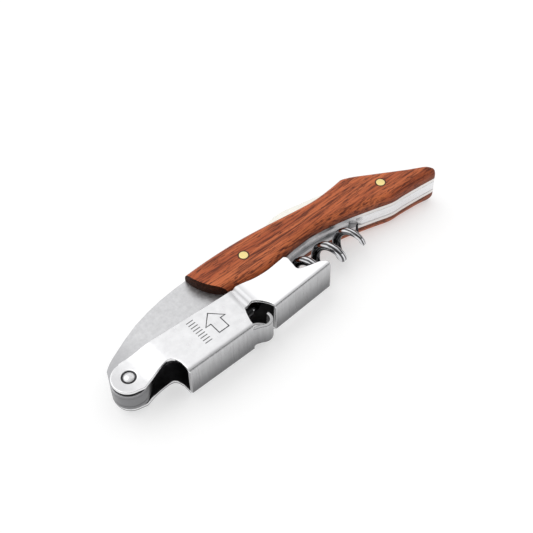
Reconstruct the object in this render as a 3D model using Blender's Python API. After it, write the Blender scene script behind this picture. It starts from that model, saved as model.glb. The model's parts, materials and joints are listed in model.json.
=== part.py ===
"""Waiter's corkscrew: a folding, double-lever wine opener with a worm and a foil knife.

The handle lies flat on its lower wooden scale.  X runs from the lever rivet to the tail, the lever
and the worm are on the -Y side, the knife is on the +Y side, and Z is up.  Plan coordinates below
are measured from the lever rivet; heights are measured from the middle of the handle's thickness.
At the end everything is hung on one empty, which brings the origin to the bottom centre of the box.
"""
import math

import bmesh
import bpy
from mathutils import Vector

MM = 0.001

# ---- the stack through the handle's thickness ----
LINER_T = 1.2 * MM            # one steel liner
SLOT_W = 3.5 * MM             # clear width between the liners
SCALE_T = 3.9 * MM            # one wooden scale
GAP = 0.1 * MM                # left between faces that rest on each other
RUN_FIT = 0.05 * MM           # radial clearance of a pin in its hole
SLOT_Z = SLOT_W / 2
LINER_Z = SLOT_Z + LINER_T
SCALE_Z0 = LINER_Z + GAP
SCALE_Z1 = SCALE_Z0 + SCALE_T

# ---- sheet-metal lever ----
SHEET = 1.0 * MM              # thickness of the lever's sheet
LEVER_HALF_W = 5.82 * MM      # half the outer width of both channels
EAR_CLEAR = 0.51 * MM         # between the ears and the liners
EAR_HALF_W = LINER_Z + EAR_CLEAR + SHEET
BEND_R = 1.4 * MM             # outer radius of the bend between a cheek and the web
EAR_R = 4.85 * MM             # rounded end of the ears
EAR_TOP = 5.15 * MM           # the cheek's upper edge over the rivet
WEB_Y = -9.85 * MM            # outer face of the first channel's web
WEB_X0 = 12.4 * MM            # start of that web, at the cap notch
ARM_END_TOP = (37.3 * MM, 3.3 * MM)
ARM_END_LOW = 34.1 * MM
NOTCH_TOP = -3.3 * MM         # deepest point of the cap notch
NOTCH_X = 10.3 * MM
JOGGLE_X0 = 2.6 * MM          # the cheeks spread from the ears' width to the full width here
JOGGLE_X1 = 10.6 * MM
LIP_R = 2.33 * MM             # centre-line radius of the curl
LIP_CENTRE = (38.5 * MM, -8.47 * MM)

# ---- second channel, the foot ----
FOOT_GAP = 0.1 * MM           # between the foot's ears and the cheeks over them
FOOT_EAR_HALF_W = LEVER_HALF_W - SHEET - FOOT_GAP
TONGUE_HALF_W = FOOT_EAR_HALF_W - SHEET - FOOT_GAP   # the first rest swings between the ears
FOOT_EAR_R = 2.4 * MM
FOOT_HINGE = (33.0 * MM, -5.5 * MM)
FOOT_HINGE_R = 1.1 * MM
FOOT_RAMP_X0 = 37.5 * MM      # the foot's cheeks step out to the full width here
FOOT_RAMP_X1 = 39.1 * MM
FOOT_WEB_X0 = 42.7 * MM
FOOT_WEB_Y = -8.85 * MM       # outer face of the foot's web at its start
FOOT_WEB_SLOPE = 0.055        # the web closes towards the handle by this much per length
FOOT_END_X = 64.4 * MM
FOOT_PEAK = (55.7 * MM, 2.75 * MM)

# ---- pins and rivets, in plan ----
LEVER_RIVET_R = 1.5 * MM
RIVET_HEAD_R = 2.05 * MM
RIVET_SINK_R = 2.3 * MM
RIVET_SINK = 0.6 * MM         # depth of the countersink in the ear
RIVET_DOME = 0.4 * MM         # how far the head stands proud
BRASS_R = 1.5 * MM
BRASS_FRONT = (47.3 * MM, 9.9 * MM)
BRASS_REAR = (95.5 * MM, 4.3 * MM)
WORM_PIN = (34.0 * MM, -1.2 * MM)
WORM_PIN_R = 1.0 * MM
LINER_RIVET = (38.6 * MM, 12.2 * MM)
TAIL_RIVET = (105.6 * MM, 0.5 * MM)
RIVET_R = 1.0 * MM
STOP_PIN = (59.5 * MM, 9.3 * MM)
STOP_PIN_R = 0.8 * MM

# ---- handle outline, in plan ----
CORE_END_R = 5.2 * MM         # rounded end of the liners round the lever rivet
TAIL_X = 112.25               # tip of the tail, in millimetres like the outlines below
KNEE = (88.3, 14.2)           # corner of the back edge over the knife's root
THROAT = (90.0, 0.0)          # where the front edge turns into the tail
CORE_RECESS = [(26.0, -4.0), (20.0, -3.6), (16.5, -1.4), (13.0, 0.9), (9.0, 0.7), (5.6, -1.8),
               (3.3, -4.1)]   # front edge of the core, hollow behind the cap notch
BOSS_R = 2.8 * MM             # the liners round the worm pin
WOOD_END_C = (45.5 * MM, 16.0 * MM)
WOOD_END_R = 14.3 * MM
EDGE_RY = 2.6 * MM            # rounding of the scales, across and down
EDGE_RZ = 3.0 * MM
SPRING_INSET = 0.8 * MM       # the back spring lies this far inside the liners' edge
SPRING_W = 2.8 * MM
NECK_X = 38.4 * MM            # the wood's front edge starts here

BACK_EDGE = [(-2.9, 6.0), (-0.8, 7.6), (3.0, 9.5), (11.6, 13.1), (21.8, 15.4), (31.9, 16.25),
             (42.0, 16.5), (52.0, 16.1), (62.0, 15.0), (72.0, 13.7), (77.5, 13.3), (83.0, 13.6),
             KNEE]
TAIL_EDGE = [KNEE, (91.4, 12.8), (97.3, 9.2), (103.5, 5.4), (TAIL_X - 2.85, 1.7),
             (TAIL_X - 0.95, 0.1), (TAIL_X - 0.15, -1.1), (TAIL_X, -2.0)]
TAIL_FRONT = [(TAIL_X, -2.0), (TAIL_X - 0.4, -2.7), (TAIL_X - 1.5, -2.8), (TAIL_X - 6.0, -2.3),
              (99.7, -1.75), (95.2, -1.5), THROAT]
FRONT_EDGE = [THROAT, (84.0, 1.7), (80.5, 2.6), (74.0, 3.9), (67.4, 4.6), (61.0, 4.25),
              (54.2, 3.3), (48.8, 2.75), (43.5, 3.25), (38.4, 4.5)]

# ---- worm ----
WIRE_R = 1.3 * MM
COIL_CLEAR = 0.37 * MM        # between the coil and the foot's cheeks
COIL_Y = -1.6 * MM
COIL_R = LEVER_HALF_W - SHEET - COIL_CLEAR - WIRE_R   # centre line of the wire
COIL_PITCH = 8.3 * MM
COIL_TIP_X = 84.0 * MM
COIL_START_X = 41.0 * MM      # the wire leaves the axis here
COIL_FULL_X = 46.5 * MM       # and has its full radius here
TIP_R = 0.22 * MM
TAPER = 1.1                   # turns over which the wire comes to a point
HUB_R = 2.5 * MM
HUB_WALL = 0.33 * MM          # of the socket round the wire
HUB_NECK_R = WIRE_R + RUN_FIT + HUB_WALL
HUB_NECK_X = 39.6 * MM
HUB_SOCKET = 2.2 * MM
HUB_HALF_T = SLOT_Z - GAP

# ---- knife ----
BLADE_T = 1.1 * MM
BLADE_ROOT_R = 3.7 * MM
WASHER_R = 2.9 * MM
KNIFE_GAP = 0.05 * MM

ROUND = 20                    # sides of a pin and of its hole


# ---------------------------------------------------------------- helpers

def clear_scene():
    """Remove whatever the start-up file holds."""
    for item in list(bpy.data.objects):
        bpy.data.objects.remove(item, do_unlink=True)


def metres(points):
    """Plan points listed in millimetres, in metres."""
    return [(x * MM, y * MM) for x, y in points]


def smooth(points, steps):
    """Catmull-Rom curve through the points, from the first up to, but without, the last."""
    ends = [tuple(2 * a - b for a, b in zip(points[0], points[1]))]
    tail = [tuple(2 * a - b for a, b in zip(points[-1], points[-2]))]
    knots = ends + list(points) + tail
    curve = []
    for i in range(1, len(knots) - 2):
        for k in range(steps):
            t = k / steps
            curve.append(tuple(
                0.5 * (2 * b + (c - a) * t + (2 * a - 5 * b + 4 * c - d) * t * t
                       + (3 * b - a - 3 * c + d) * t ** 3)
                for a, b, c, d in zip(knots[i - 1], knots[i], knots[i + 1], knots[i + 2])))
    return curve


def arc(centre, radius, start, end, steps):
    """Points of an arc, angles in degrees, both ends included."""
    return [(centre[0] + radius * math.cos(math.radians(start + (end - start) * k / steps)),
             centre[1] + radius * math.sin(math.radians(start + (end - start) * k / steps)))
            for k in range(steps + 1)]


def height_at(points, x):
    """Y of a curve with rising or falling X, by straight interpolation."""
    ordered = sorted(points)
    if x <= ordered[0][0]:
        return ordered[0][1]
    for (x0, y0), (x1, y1) in zip(ordered, ordered[1:]):
        if x <= x1:
            return y0 + (y1 - y0) * (x - x0) / (x1 - x0)
    return ordered[-1][1]


def ease(value):
    """Smooth step from 0 to 1."""
    value = min(max(value, 0.0), 1.0)
    return value * value * (3 - 2 * value)


def material(name, colour, roughness, metallic):
    """A plain Principled material."""
    made = bpy.data.materials.new(name)
    made.use_nodes = True
    shader = made.node_tree.nodes["Principled BSDF"]
    shader.inputs["Base Color"].default_value = (*colour, 1.0)
    shader.inputs["Roughness"].default_value = roughness
    shader.inputs["Metallic"].default_value = metallic
    return made


def finish(name, work, look):
    """Turn a bmesh into an object with outward faces and smooth round sides."""
    bmesh.ops.remove_doubles(work, verts=work.verts, dist=1e-7)
    bmesh.ops.recalc_face_normals(work, faces=work.faces)
    mesh = bpy.data.meshes.new(name)
    work.to_mesh(mesh)
    work.free()
    mesh.materials.append(look)
    mesh.shade_smooth()
    mesh.set_sharp_from_angle(angle=math.radians(35))
    made = bpy.data.objects.new(name, mesh)
    bpy.context.collection.objects.link(made)
    return made


def prism(name, outline, low, high, look):
    """A flat plate: the outline, extruded from low to high."""
    work = bmesh.new()
    face = work.faces.new([work.verts.new((x, y, low)) for x, y in outline])
    raised = bmesh.ops.extrude_face_region(work, geom=[face])["geom"]
    moved = [item for item in raised if isinstance(item, bmesh.types.BMVert)]
    bmesh.ops.translate(work, verts=moved, vec=(0, 0, high - low))
    return finish(name, work, look)


def loft(name, rings, look):
    """A solid through rings with the same number of points, closed by a cap at each end."""
    work = bmesh.new()
    rows = [[work.verts.new(point) for point in ring] for ring in rings]
    count = len(rings[0])
    for row, following in zip(rows, rows[1:]):
        for k in range(count):
            nxt = (k + 1) % count
            work.faces.new((row[k], row[nxt], following[nxt], following[k]))
    work.faces.new(rows[0])
    work.faces.new(rows[-1])
    return finish(name, work, look)


def turned(name, centre, profile, look, sides=ROUND):
    """A solid of revolution about a vertical axis: profile is (radius, z) from axis to axis."""
    work = bmesh.new()
    columns = []
    for k in range(sides):
        angle = 2 * math.pi * k / sides
        columns.append([work.verts.new((centre[0] + r * math.cos(angle),
                                        centre[1] + r * math.sin(angle), z))
                        for r, z in profile])
    for k in range(sides):
        here, nxt = columns[k], columns[(k + 1) % sides]
        for i in range(len(profile) - 1):
            work.faces.new((here[i], nxt[i], nxt[i + 1], here[i + 1]))
    if profile[0][0] > 0:
        closing = [(columns[k][0], columns[k][-1]) for k in range(sides)]
        if profile[0] == profile[-1]:
            return finish(name, work, look)
        for end in (0, 1):
            work.faces.new([pair[end] for pair in closing])
    return finish(name, work, look)


def pin(name, centre, radius, half, look, sides=ROUND):
    """A plain round pin through the middle plane."""
    return turned(name, centre, [(radius, -half), (radius, half)], look, sides)


def combine(target, tool, operation):
    """Apply an exact Boolean of the tool to the target, and remove the tool."""
    step = target.modifiers.new("cut", "BOOLEAN")
    step.operation = operation
    step.solver = "EXACT"
    step.object = tool
    bpy.context.view_layer.update()
    graph = bpy.context.evaluated_depsgraph_get()
    mesh = bpy.data.meshes.new_from_object(target.evaluated_get(graph))
    target.modifiers.remove(step)
    old = target.data
    target.data = mesh
    bpy.data.meshes.remove(old)
    bpy.data.objects.remove(tool, do_unlink=True)
    mesh.shade_smooth()
    mesh.set_sharp_from_angle(angle=math.radians(35))


def bore(target, centre, radius, low=-20 * MM, high=20 * MM):
    """Drill a vertical hole."""
    look = target.data.materials[0]
    tool = turned("drill", centre, [(radius, low), (radius, high)], look)
    combine(target, tool, "DIFFERENCE")


# ---------------------------------------------------------------- outlines

def liner_outline():
    """Plan outline of a liner, counter-clockwise from the tail's front."""
    front = smooth(metres(TAIL_FRONT), 3) + smooth(metres(FRONT_EDGE), 2)
    boss = arc(WORM_PIN, BOSS_R, 10, -90, 6)
    under = smooth([(WORM_PIN[0], WORM_PIN[1] - BOSS_R)] + metres(CORE_RECESS), 2)
    end = arc((0, 0), CORE_END_R, -70, -230, 10)
    back = smooth(metres(BACK_EDGE), 2) + smooth(metres(TAIL_EDGE), 3)
    neck = [(NECK_X, 4.5 * MM), (38.0 * MM, 2.2 * MM)]
    return front + neck + boss[:-1] + under + end[:-1] + back


def front_curve():
    """The front edge from the tail to the neck, finely."""
    return smooth(metres(TAIL_FRONT), 6) + smooth(metres(FRONT_EDGE), 6) + [metres(FRONT_EDGE)[-1]]


def back_curve():
    """The back edge from the core's end to the tail, finely."""
    return smooth(metres(BACK_EDGE), 6) + smooth(metres(TAIL_EDGE), 6) + [metres(TAIL_EDGE)[-1]]


# ---------------------------------------------------------------- handle

def make_liners(steel):
    """Two mirrored liner plates with their pin holes."""
    for name, low in (("liner_upper", SLOT_Z), ("liner_lower", -LINER_Z)):
        plate = prism(name, liner_outline(), low, low + LINER_T, steel)
        for centre, radius in ((BRASS_FRONT, BRASS_R), (BRASS_REAR, BRASS_R),
                               ((0, 0), LEVER_RIVET_R), (WORM_PIN, WORM_PIN_R),
                               (LINER_RIVET, RIVET_R), (TAIL_RIVET, RIVET_R),
                               (STOP_PIN, STOP_PIN_R)):
            bore(plate, centre, radius + RUN_FIT)


def make_scale(name, side, wood):
    """A wooden scale: sections across the handle, flat on top with rounded edges."""
    front, back = front_curve(), back_curve()
    stations = [30.4, 34, 37] + list(range(40, 86, 4)) + [KNEE[0], 91.4, 95, 99, 103, 107]
    stations += [TAIL_X - back_off for back_off in (2.2, 1.1, 0.4, 0.12, 0.03)]
    rings = []
    for x in (value * MM for value in stations):
        y0 = height_at([p for p in front if p[0] >= NECK_X], x)
        y1 = height_at(back, x)
        ry = min(EDGE_RY, 0.42 * (y1 - y0))
        ring = [(x, y0, SCALE_Z0)]
        for k in range(5):
            turn = math.radians(90 * k / 4)
            ring.append((x, y0 + ry * (1 - math.cos(turn)),
                         SCALE_Z1 - EDGE_RZ * (1 - math.sin(turn))))
        for k in range(4, -1, -1):
            turn = math.radians(90 * k / 4)
            ring.append((x, y1 - ry * (1 - math.cos(turn)),
                         SCALE_Z1 - EDGE_RZ * (1 - math.sin(turn))))
        ring.append((x, y1, SCALE_Z0))
        rings.append([(px, py, side * pz) for px, py, pz in ring])
    scale = loft(name, rings, wood)
    trim = [(20 * MM, -10 * MM)]
    trim += arc(WOOD_END_C, WOOD_END_R, 285, 170, 14)
    trim += [(20 * MM, 22 * MM)]
    low, high = sorted((side * (SCALE_Z0 - MM), side * (SCALE_Z1 + MM)))
    combine(scale, prism("trim", trim, low, high, wood), "DIFFERENCE")
    bore(scale, BRASS_FRONT, BRASS_R + RUN_FIT)
    bore(scale, BRASS_REAR, BRASS_R + RUN_FIT)
    return scale


def make_front_block(steel):
    """The block between the liners at the rivet end."""
    end = arc((0, 0), CORE_END_R, -70, -230, 10)
    back = smooth(metres(BACK_EDGE[:7]), 2)
    inner = [(42.0 * MM, 16.5 * MM), (42.0 * MM, 10.6 * MM), (37.0 * MM, 8.6 * MM),
             (32.5 * MM, 3.2 * MM), (30.0 * MM, -1.5 * MM), (28.4 * MM, -3.9 * MM)]
    under = smooth(metres(CORE_RECESS), 2)
    block = prism("front_block", end[:-1] + back + inner + under,
                  -(SLOT_Z - GAP), SLOT_Z - GAP, steel)
    bore(block, (0, 0), LEVER_RIVET_R + RUN_FIT)
    bore(block, LINER_RIVET, RIVET_R + RUN_FIT)


def make_back_spring(steel):
    """The spring bar between the worm and the knife, held at the front brass pin."""
    edge = [p for p in front_curve() if 45.0 * MM < p[0] < 83.0 * MM]
    edge.sort()
    front = [(x, y + SPRING_INSET) for x, y in edge[::3]]
    back = [(x, y + SPRING_W) for x, y in front[::-1] if x > 53 * MM]
    anchor = arc(BRASS_FRONT, 3.2 * MM, 20, 170, 7)
    arm = [(42.4 * MM, 7.2 * MM), (38.3 * MM, 3.6 * MM), (37.6 * MM, 2.3 * MM),
           (39.2 * MM, 2.6 * MM), (41.8 * MM, 4.6 * MM)]
    spring = prism("back_spring", front + back + anchor + arm,
                   -(SLOT_Z - GAP), SLOT_Z - GAP, steel)
    bore(spring, BRASS_FRONT, BRASS_R + RUN_FIT)


def make_tail_spacer(steel):
    """The bright bar that fills the liners' front edge at the tail, clear of the knife's root."""
    clear = BLADE_ROOT_R + 2 * GAP
    pocket = arc(BRASS_REAR, clear, 248, 305, 6)
    front = smooth(metres(TAIL_FRONT), 3)
    front += [p for p in smooth(metres(FRONT_EDGE), 2) if p[0] > 86 * MM]
    outline = [p for p in front]
    outline += [(85.6 * MM, 1.3 * MM), (82.9 * MM, 3.9 * MM), (88.6 * MM, 2.4 * MM)]
    outline += pocket
    outline += metres([(99.6, 1.2), (TAIL_X - 2.0, 1.0), (TAIL_X - 0.95, 0.1),
                       (TAIL_X - 0.15, -1.1)])
    spacer = prism("tail_spacer", outline, -(SLOT_Z - GAP), SLOT_Z - GAP, steel)
    bore(spacer, TAIL_RIVET, RIVET_R + RUN_FIT)


def make_pins(steel, brass):
    """Brass scale pins, the domed lever rivet and the hidden steel pins."""
    pin("scale_pin_front", BRASS_FRONT, BRASS_R, SCALE_Z1, brass)
    pin("scale_pin_rear", BRASS_REAR, BRASS_R, SCALE_Z1, brass)
    seat = EAR_HALF_W - RIVET_SINK + GAP
    rim = EAR_HALF_W - 0.05 * MM
    crown = EAR_HALF_W + RIVET_DOME
    half = [(LEVER_RIVET_R, seat), (RIVET_HEAD_R, seat), (RIVET_HEAD_R, rim),
            (RIVET_HEAD_R * 0.8, rim + 0.6 * (crown - rim)), (RIVET_HEAD_R * 0.4, crown)]
    lower = [(r, -z) for r, z in half[::-1]]
    turned("lever_rivet", (0, 0), lower + half, steel)
    pin("worm_pin", WORM_PIN, WORM_PIN_R, LINER_Z, steel, 14)
    pin("liner_rivet", LINER_RIVET, RIVET_R, LINER_Z, steel, 14)
    pin("tail_rivet", TAIL_RIVET, RIVET_R, LINER_Z, steel, 14)
    pin("knife_stop_pin", STOP_PIN, STOP_PIN_R, LINER_Z, steel, 14)


# ---------------------------------------------------------------- lever

def channel_section(x, top, web, half_w):
    """Closed outline of a U-channel, open towards +Y, with round bends between cheek and web."""
    inner_r = BEND_R - SHEET
    outline = []
    for side in (1, -1):
        bend = [(web + BEND_R * (1 - math.sin(math.radians(a))),
                 side * (half_w - BEND_R * (1 - math.cos(math.radians(a)))))
                for a in (0, 30, 60, 90)]
        run = [(top, side * half_w)] + bend
        outline += run if side > 0 else run[::-1]
    for side in (-1, 1):
        bend = [(web + SHEET + inner_r * (1 - math.sin(math.radians(a))),
                 side * (half_w - SHEET - inner_r * (1 - math.cos(math.radians(a)))))
                for a in (0, 90)]
        run = [(top, side * (half_w - SHEET))] + bend
        outline += run if side < 0 else run[::-1]
    return [(x, y, z) for y, z in outline]


def make_lever_arm(steel):
    """First channel: ears on the rivet, cap notch, and a tongue curled into the first rest."""
    stations = [-7 * MM, JOGGLE_X0]
    stations += [JOGGLE_X0 + (JOGGLE_X1 - JOGGLE_X0) * k / 6 for k in range(1, 7)]
    stations += [40 * MM]
    rings = []
    for x in stations:
        spread = ease((x - JOGGLE_X0) / (JOGGLE_X1 - JOGGLE_X0))
        rings.append(channel_section(x, 8 * MM, WEB_Y,
                                     EAR_HALF_W + (LEVER_HALF_W - EAR_HALF_W) * spread))
    arm = loft("lever_arm", rings, steel)
    ear = arc((0, 0), EAR_R, 88, 262, 14)
    ear[0] = (0.4 * MM, EAR_TOP)
    notch = smooth([(1.3 * MM, -5.3 * MM), (4.0 * MM, -4.5 * MM), (7.4 * MM, -3.6 * MM),
                    (NOTCH_X, NOTCH_TOP), (11.7 * MM, -4.2 * MM), (WEB_X0, -6.2 * MM)], 3)
    outline = ear + notch + [(WEB_X0, -6.2 * MM), (WEB_X0, WEB_Y - MM),
                             (ARM_END_LOW, WEB_Y - MM), (ARM_END_LOW, WEB_Y),
                             (36.3 * MM, -3.1 * MM), ARM_END_TOP]
    combine(arm, prism("side", outline, -9 * MM, 9 * MM, steel), "INTERSECT")
    combine(arm, make_lip(steel), "UNION")
    for side in (1, -1):
        low, high = sorted((side * (EAR_HALF_W - RIVET_SINK), side * 9 * MM))
        bore(arm, (0, 0), RIVET_SINK_R, low, high)
    bore(arm, (0, 0), LEVER_RIVET_R + RUN_FIT)
    bore(arm, FOOT_HINGE, FOOT_HINGE_R + RUN_FIT)
    return arm


def make_lip(steel):
    """The tongue: straight out of the web, down, and round in a curl open towards the handle."""
    web_mid = WEB_Y + SHEET / 2
    cx, cy = LIP_CENTRE
    line = [(ARM_END_LOW - 1.4 * MM, web_mid), (ARM_END_LOW + 0.8 * MM, web_mid)]
    line += arc((cx, cy), LIP_R, 222, 380, 9)
    left, right = [], []
    for i, (x, y) in enumerate(line):
        before, after = line[max(i - 1, 0)], line[min(i + 1, len(line) - 1)]
        along = Vector((after[0] - before[0], after[1] - before[1])).normalized()
        half = SHEET / 2 - 0.02 * MM
        left.append((x - along.y * half, y + along.x * half))
        right.append((x + along.y * half, y - along.x * half))
    return prism("lip", left + right[::-1], -TONGUE_HALF_W, TONGUE_HALF_W, steel)


def foot_web(x):
    """Outer face of the foot's web, which closes gently towards the handle."""
    return FOOT_WEB_Y + FOOT_WEB_SLOPE * (x - FOOT_WEB_X0)


def make_lever_foot(steel):
    """Second channel: ears inside the first, a window behind the lip, and the second rest."""
    stations = [29 * MM, FOOT_RAMP_X0]
    stations += [FOOT_RAMP_X0 + (FOOT_RAMP_X1 - FOOT_RAMP_X0) * k / 4 for k in range(1, 5)]
    stations += [67 * MM]
    rings = []
    for x in stations:
        spread = ease((x - FOOT_RAMP_X0) / (FOOT_RAMP_X1 - FOOT_RAMP_X0))
        rings.append(channel_section(x, 8 * MM, foot_web(x),
                                     FOOT_EAR_HALF_W + (SHEET + FOOT_GAP) * spread))
    foot = loft("lever_foot", rings, steel)
    top = smooth([(37.6 * MM, 3.8 * MM), (40.9 * MM, 3.35 * MM), (44.5 * MM, 2.5 * MM),
                  (48.8 * MM, 2.15 * MM), (52.6 * MM, 2.45 * MM), FOOT_PEAK], 2)
    heel = smooth([FOOT_PEAK, (56.45 * MM, 1.7 * MM), (56.1 * MM, -1.0 * MM),
                   (56.1 * MM, -3.0 * MM), (58.6 * MM, -4.1 * MM), (62.4 * MM, -5.2 * MM),
                   (63.9 * MM, -6.3 * MM), (FOOT_END_X, -7.4 * MM)], 3)
    window = smooth([(FOOT_WEB_X0, -8.0 * MM), (42.2 * MM, -6.6 * MM), (40.8 * MM, -4.5 * MM),
                     (39.0 * MM, -3.2 * MM), (36.2 * MM, -3.2 * MM)], 3)
    ear = arc(FOOT_HINGE, FOOT_EAR_R, 25, -200, 11)
    outline = top + heel + [(FOOT_END_X, -9.5 * MM), (FOOT_WEB_X0, -9.5 * MM)] + window
    outline += [(36.2 * MM, -3.2 * MM)] + ear + [(32.2 * MM, -1.0 * MM), (35.6 * MM, 2.6 * MM)]
    combine(foot, prism("side", outline, -9 * MM, 9 * MM, steel), "INTERSECT")
    bore(foot, FOOT_HINGE, FOOT_HINGE_R + RUN_FIT)
    return foot


# ---------------------------------------------------------------- worm and knife

def make_worm_hub(steel):
    """The eye on the worm pin, with the socket that holds the wire."""
    half = HUB_HALF_T
    hub = turned("worm_hub", WORM_PIN, [(HUB_R, -half), (HUB_R, half)], steel)
    rings = []
    for x in (WORM_PIN[0] + 1.6 * MM, HUB_NECK_X):
        rings.append([(x, COIL_Y + HUB_NECK_R * math.cos(2 * math.pi * k / 16),
                       HUB_NECK_R * math.sin(2 * math.pi * k / 16)) for k in range(16)])
    neck = loft("neck", rings, steel)
    combine(neck, prism("flat", [(30 * MM, -9 * MM), (45 * MM, -9 * MM), (45 * MM, 9 * MM),
                                 (30 * MM, 9 * MM)], -half + 0.02 * MM, half - 0.02 * MM, steel),
            "INTERSECT")
    combine(hub, neck, "UNION")
    socket = []
    for x in (HUB_NECK_X - HUB_SOCKET, HUB_NECK_X + MM):
        socket.append([(x, COIL_Y + (WIRE_R + RUN_FIT) * math.cos(2 * math.pi * k / 12),
                        (WIRE_R + RUN_FIT) * math.sin(2 * math.pi * k / 12)) for k in range(12)])
    combine(hub, loft("socket", socket, steel), "DIFFERENCE")
    bore(hub, WORM_PIN, WORM_PIN_R + RUN_FIT)
    return hub


def coil_point(turn):
    """Centre line of the wire at an angle in turns; 0 is the tip, at the back of the coil."""
    x = COIL_TIP_X + COIL_PITCH * turn
    grow = ease((x - COIL_START_X) / (COIL_FULL_X - COIL_START_X))
    angle = 2 * math.pi * turn
    return Vector((x, COIL_Y + COIL_R * grow * math.cos(angle), COIL_R * grow * math.sin(angle)))


def make_worm_coil(chrome):
    """A right-handed open helix of round wire that tapers to its point."""
    first = (HUB_NECK_X - HUB_SOCKET + GAP - COIL_TIP_X) / COIL_PITCH
    per_turn = 15
    count = int(-first * per_turn)
    turns = [first + (0 - first) * k / count for k in range(count + 1)]
    points = [coil_point(turn) for turn in turns]
    rings = []
    side = Vector((0, 1, 0))
    for i, point in enumerate(points):
        ahead = points[min(i + 1, count)] - points[max(i - 1, 0)]
        ahead.normalize()
        side = (side - ahead * side.dot(ahead)).normalized()
        other = ahead.cross(side)
        taper = min(1.0, -turns[i] / TAPER)
        radius = TIP_R + (WIRE_R - TIP_R) * taper ** 0.75
        rings.append([tuple(point + radius * (side * math.cos(2 * math.pi * k / 10)
                                              + other * math.sin(2 * math.pi * k / 10)))
                      for k in range(10)])
    return loft("worm_coil", rings, chrome)


def make_knife(steel):
    """Foil knife, closed: cutting edge in the slot, back of the blade standing proud."""
    spine = smooth([(92.6 * MM, 6.7 * MM), (88.0 * MM, 13.0 * MM), (84.5 * MM, 15.8 * MM),
                    (81.4 * MM, 16.95 * MM), (75.0 * MM, 18.25 * MM), (70.4 * MM, 19.2 * MM),
                    (66.6 * MM, 19.25 * MM), (62.6 * MM, 18.3 * MM), (57.5 * MM, 15.9 * MM),
                    (53.2 * MM, 13.4 * MM)], 2)
    edge = smooth([(53.0 * MM, 12.4 * MM), (57.0 * MM, 11.5 * MM), (63.0 * MM, 11.2 * MM),
                   (72.0 * MM, 10.6 * MM), (80.0 * MM, 9.4 * MM), (86.5 * MM, 7.0 * MM),
                   (91.0 * MM, 3.6 * MM)], 2)
    root = arc(BRASS_REAR, BLADE_ROOT_R, 208, 490, 14)
    blade = prism("knife_blade", root + spine + edge, -BLADE_T / 2, BLADE_T / 2, steel)
    bore(blade, BRASS_REAR, BRASS_R + RUN_FIT)
    for name, side in (("knife_washer_upper", 1), ("knife_washer_lower", -1)):
        inner = side * (BLADE_T / 2 + KNIFE_GAP)
        outer = side * (SLOT_Z - GAP)
        ring = [(BRASS_R + RUN_FIT, inner), (WASHER_R, inner), (WASHER_R, outer),
                (BRASS_R + RUN_FIT, outer), (BRASS_R + RUN_FIT, inner)]
        turned(name, BRASS_REAR, ring, steel)
    return blade


# ---------------------------------------------------------------- assembly

def hang(names, axis, root):
    """Put the pieces of one moving body under an empty on the body's joint axis."""
    pivot = bpy.data.objects.new(names[0] + "_axis", None)
    bpy.context.collection.objects.link(pivot)
    pivot.parent = root
    pivot.location = (axis[0], axis[1], 0)
    for name in names:
        piece = bpy.data.objects[name]
        for vertex in piece.data.vertices:
            vertex.co.x -= axis[0]
            vertex.co.y -= axis[1]
        piece.parent = pivot


def main():
    clear_scene()
    steel = material("brushed_steel", (0.62, 0.62, 0.63), 0.32, 1.0)
    bright = material("bright_steel", (0.78, 0.78, 0.79), 0.18, 1.0)
    chrome = material("chrome", (0.85, 0.85, 0.87), 0.06, 1.0)
    brass = material("brass", (0.80, 0.62, 0.28), 0.25, 1.0)
    wood = material("red_wood", (0.32, 0.09, 0.04), 0.45, 0.0)

    make_liners(steel)
    make_scale("scale_upper", 1, wood)
    make_scale("scale_lower", -1, wood)
    make_front_block(steel)
    make_back_spring(steel)
    make_tail_spacer(bright)
    make_pins(steel, brass)
    make_lever_arm(steel)
    pin("foot_hinge_pin", FOOT_HINGE, FOOT_HINGE_R, LEVER_HALF_W, steel, ROUND)
    make_lever_foot(steel)
    make_worm_hub(steel)
    make_worm_coil(chrome)
    make_knife(bright)

    root = bpy.data.objects.new("corkscrew_origin", None)
    bpy.context.collection.objects.link(root)
    lows, highs = Vector((1, 1, 1)), Vector((-1, -1, -1))
    for piece in bpy.data.objects:
        if piece.type == "MESH":
            for vertex in piece.data.vertices:
                for axis in range(3):
                    lows[axis] = min(lows[axis], vertex.co[axis])
                    highs[axis] = max(highs[axis], vertex.co[axis])
    root.location = (-(lows.x + highs.x) / 2, -(lows.y + highs.y) / 2, -lows.z)
    hang(["lever_arm", "foot_hinge_pin"], (0, 0), root)
    hang(["lever_foot"], FOOT_HINGE, root)
    hang(["worm_hub", "worm_coil"], WORM_PIN, root)
    hang(["knife_blade"], BRASS_REAR, root)
    for piece in bpy.data.objects:
        if piece.type == "MESH" and piece.parent is None:
            piece.parent = root


main()
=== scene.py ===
"""Looks of a folding waiter's corkscrew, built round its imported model.

Plan sizes are in millimetres from the lever rivet: X runs to the tail, Y to the knife's side and Z is measured from
the middle of the handle's thickness.  place() brings such points into the frame, in metres.
"""
import json
import math

import bmesh
import bpy
import numpy as np
from bpy.props import FloatProperty, FloatVectorProperty, IntProperty, PointerProperty
from mathutils import Matrix, Vector
from mathutils.geometry import delaunay_2d_cdt


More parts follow.
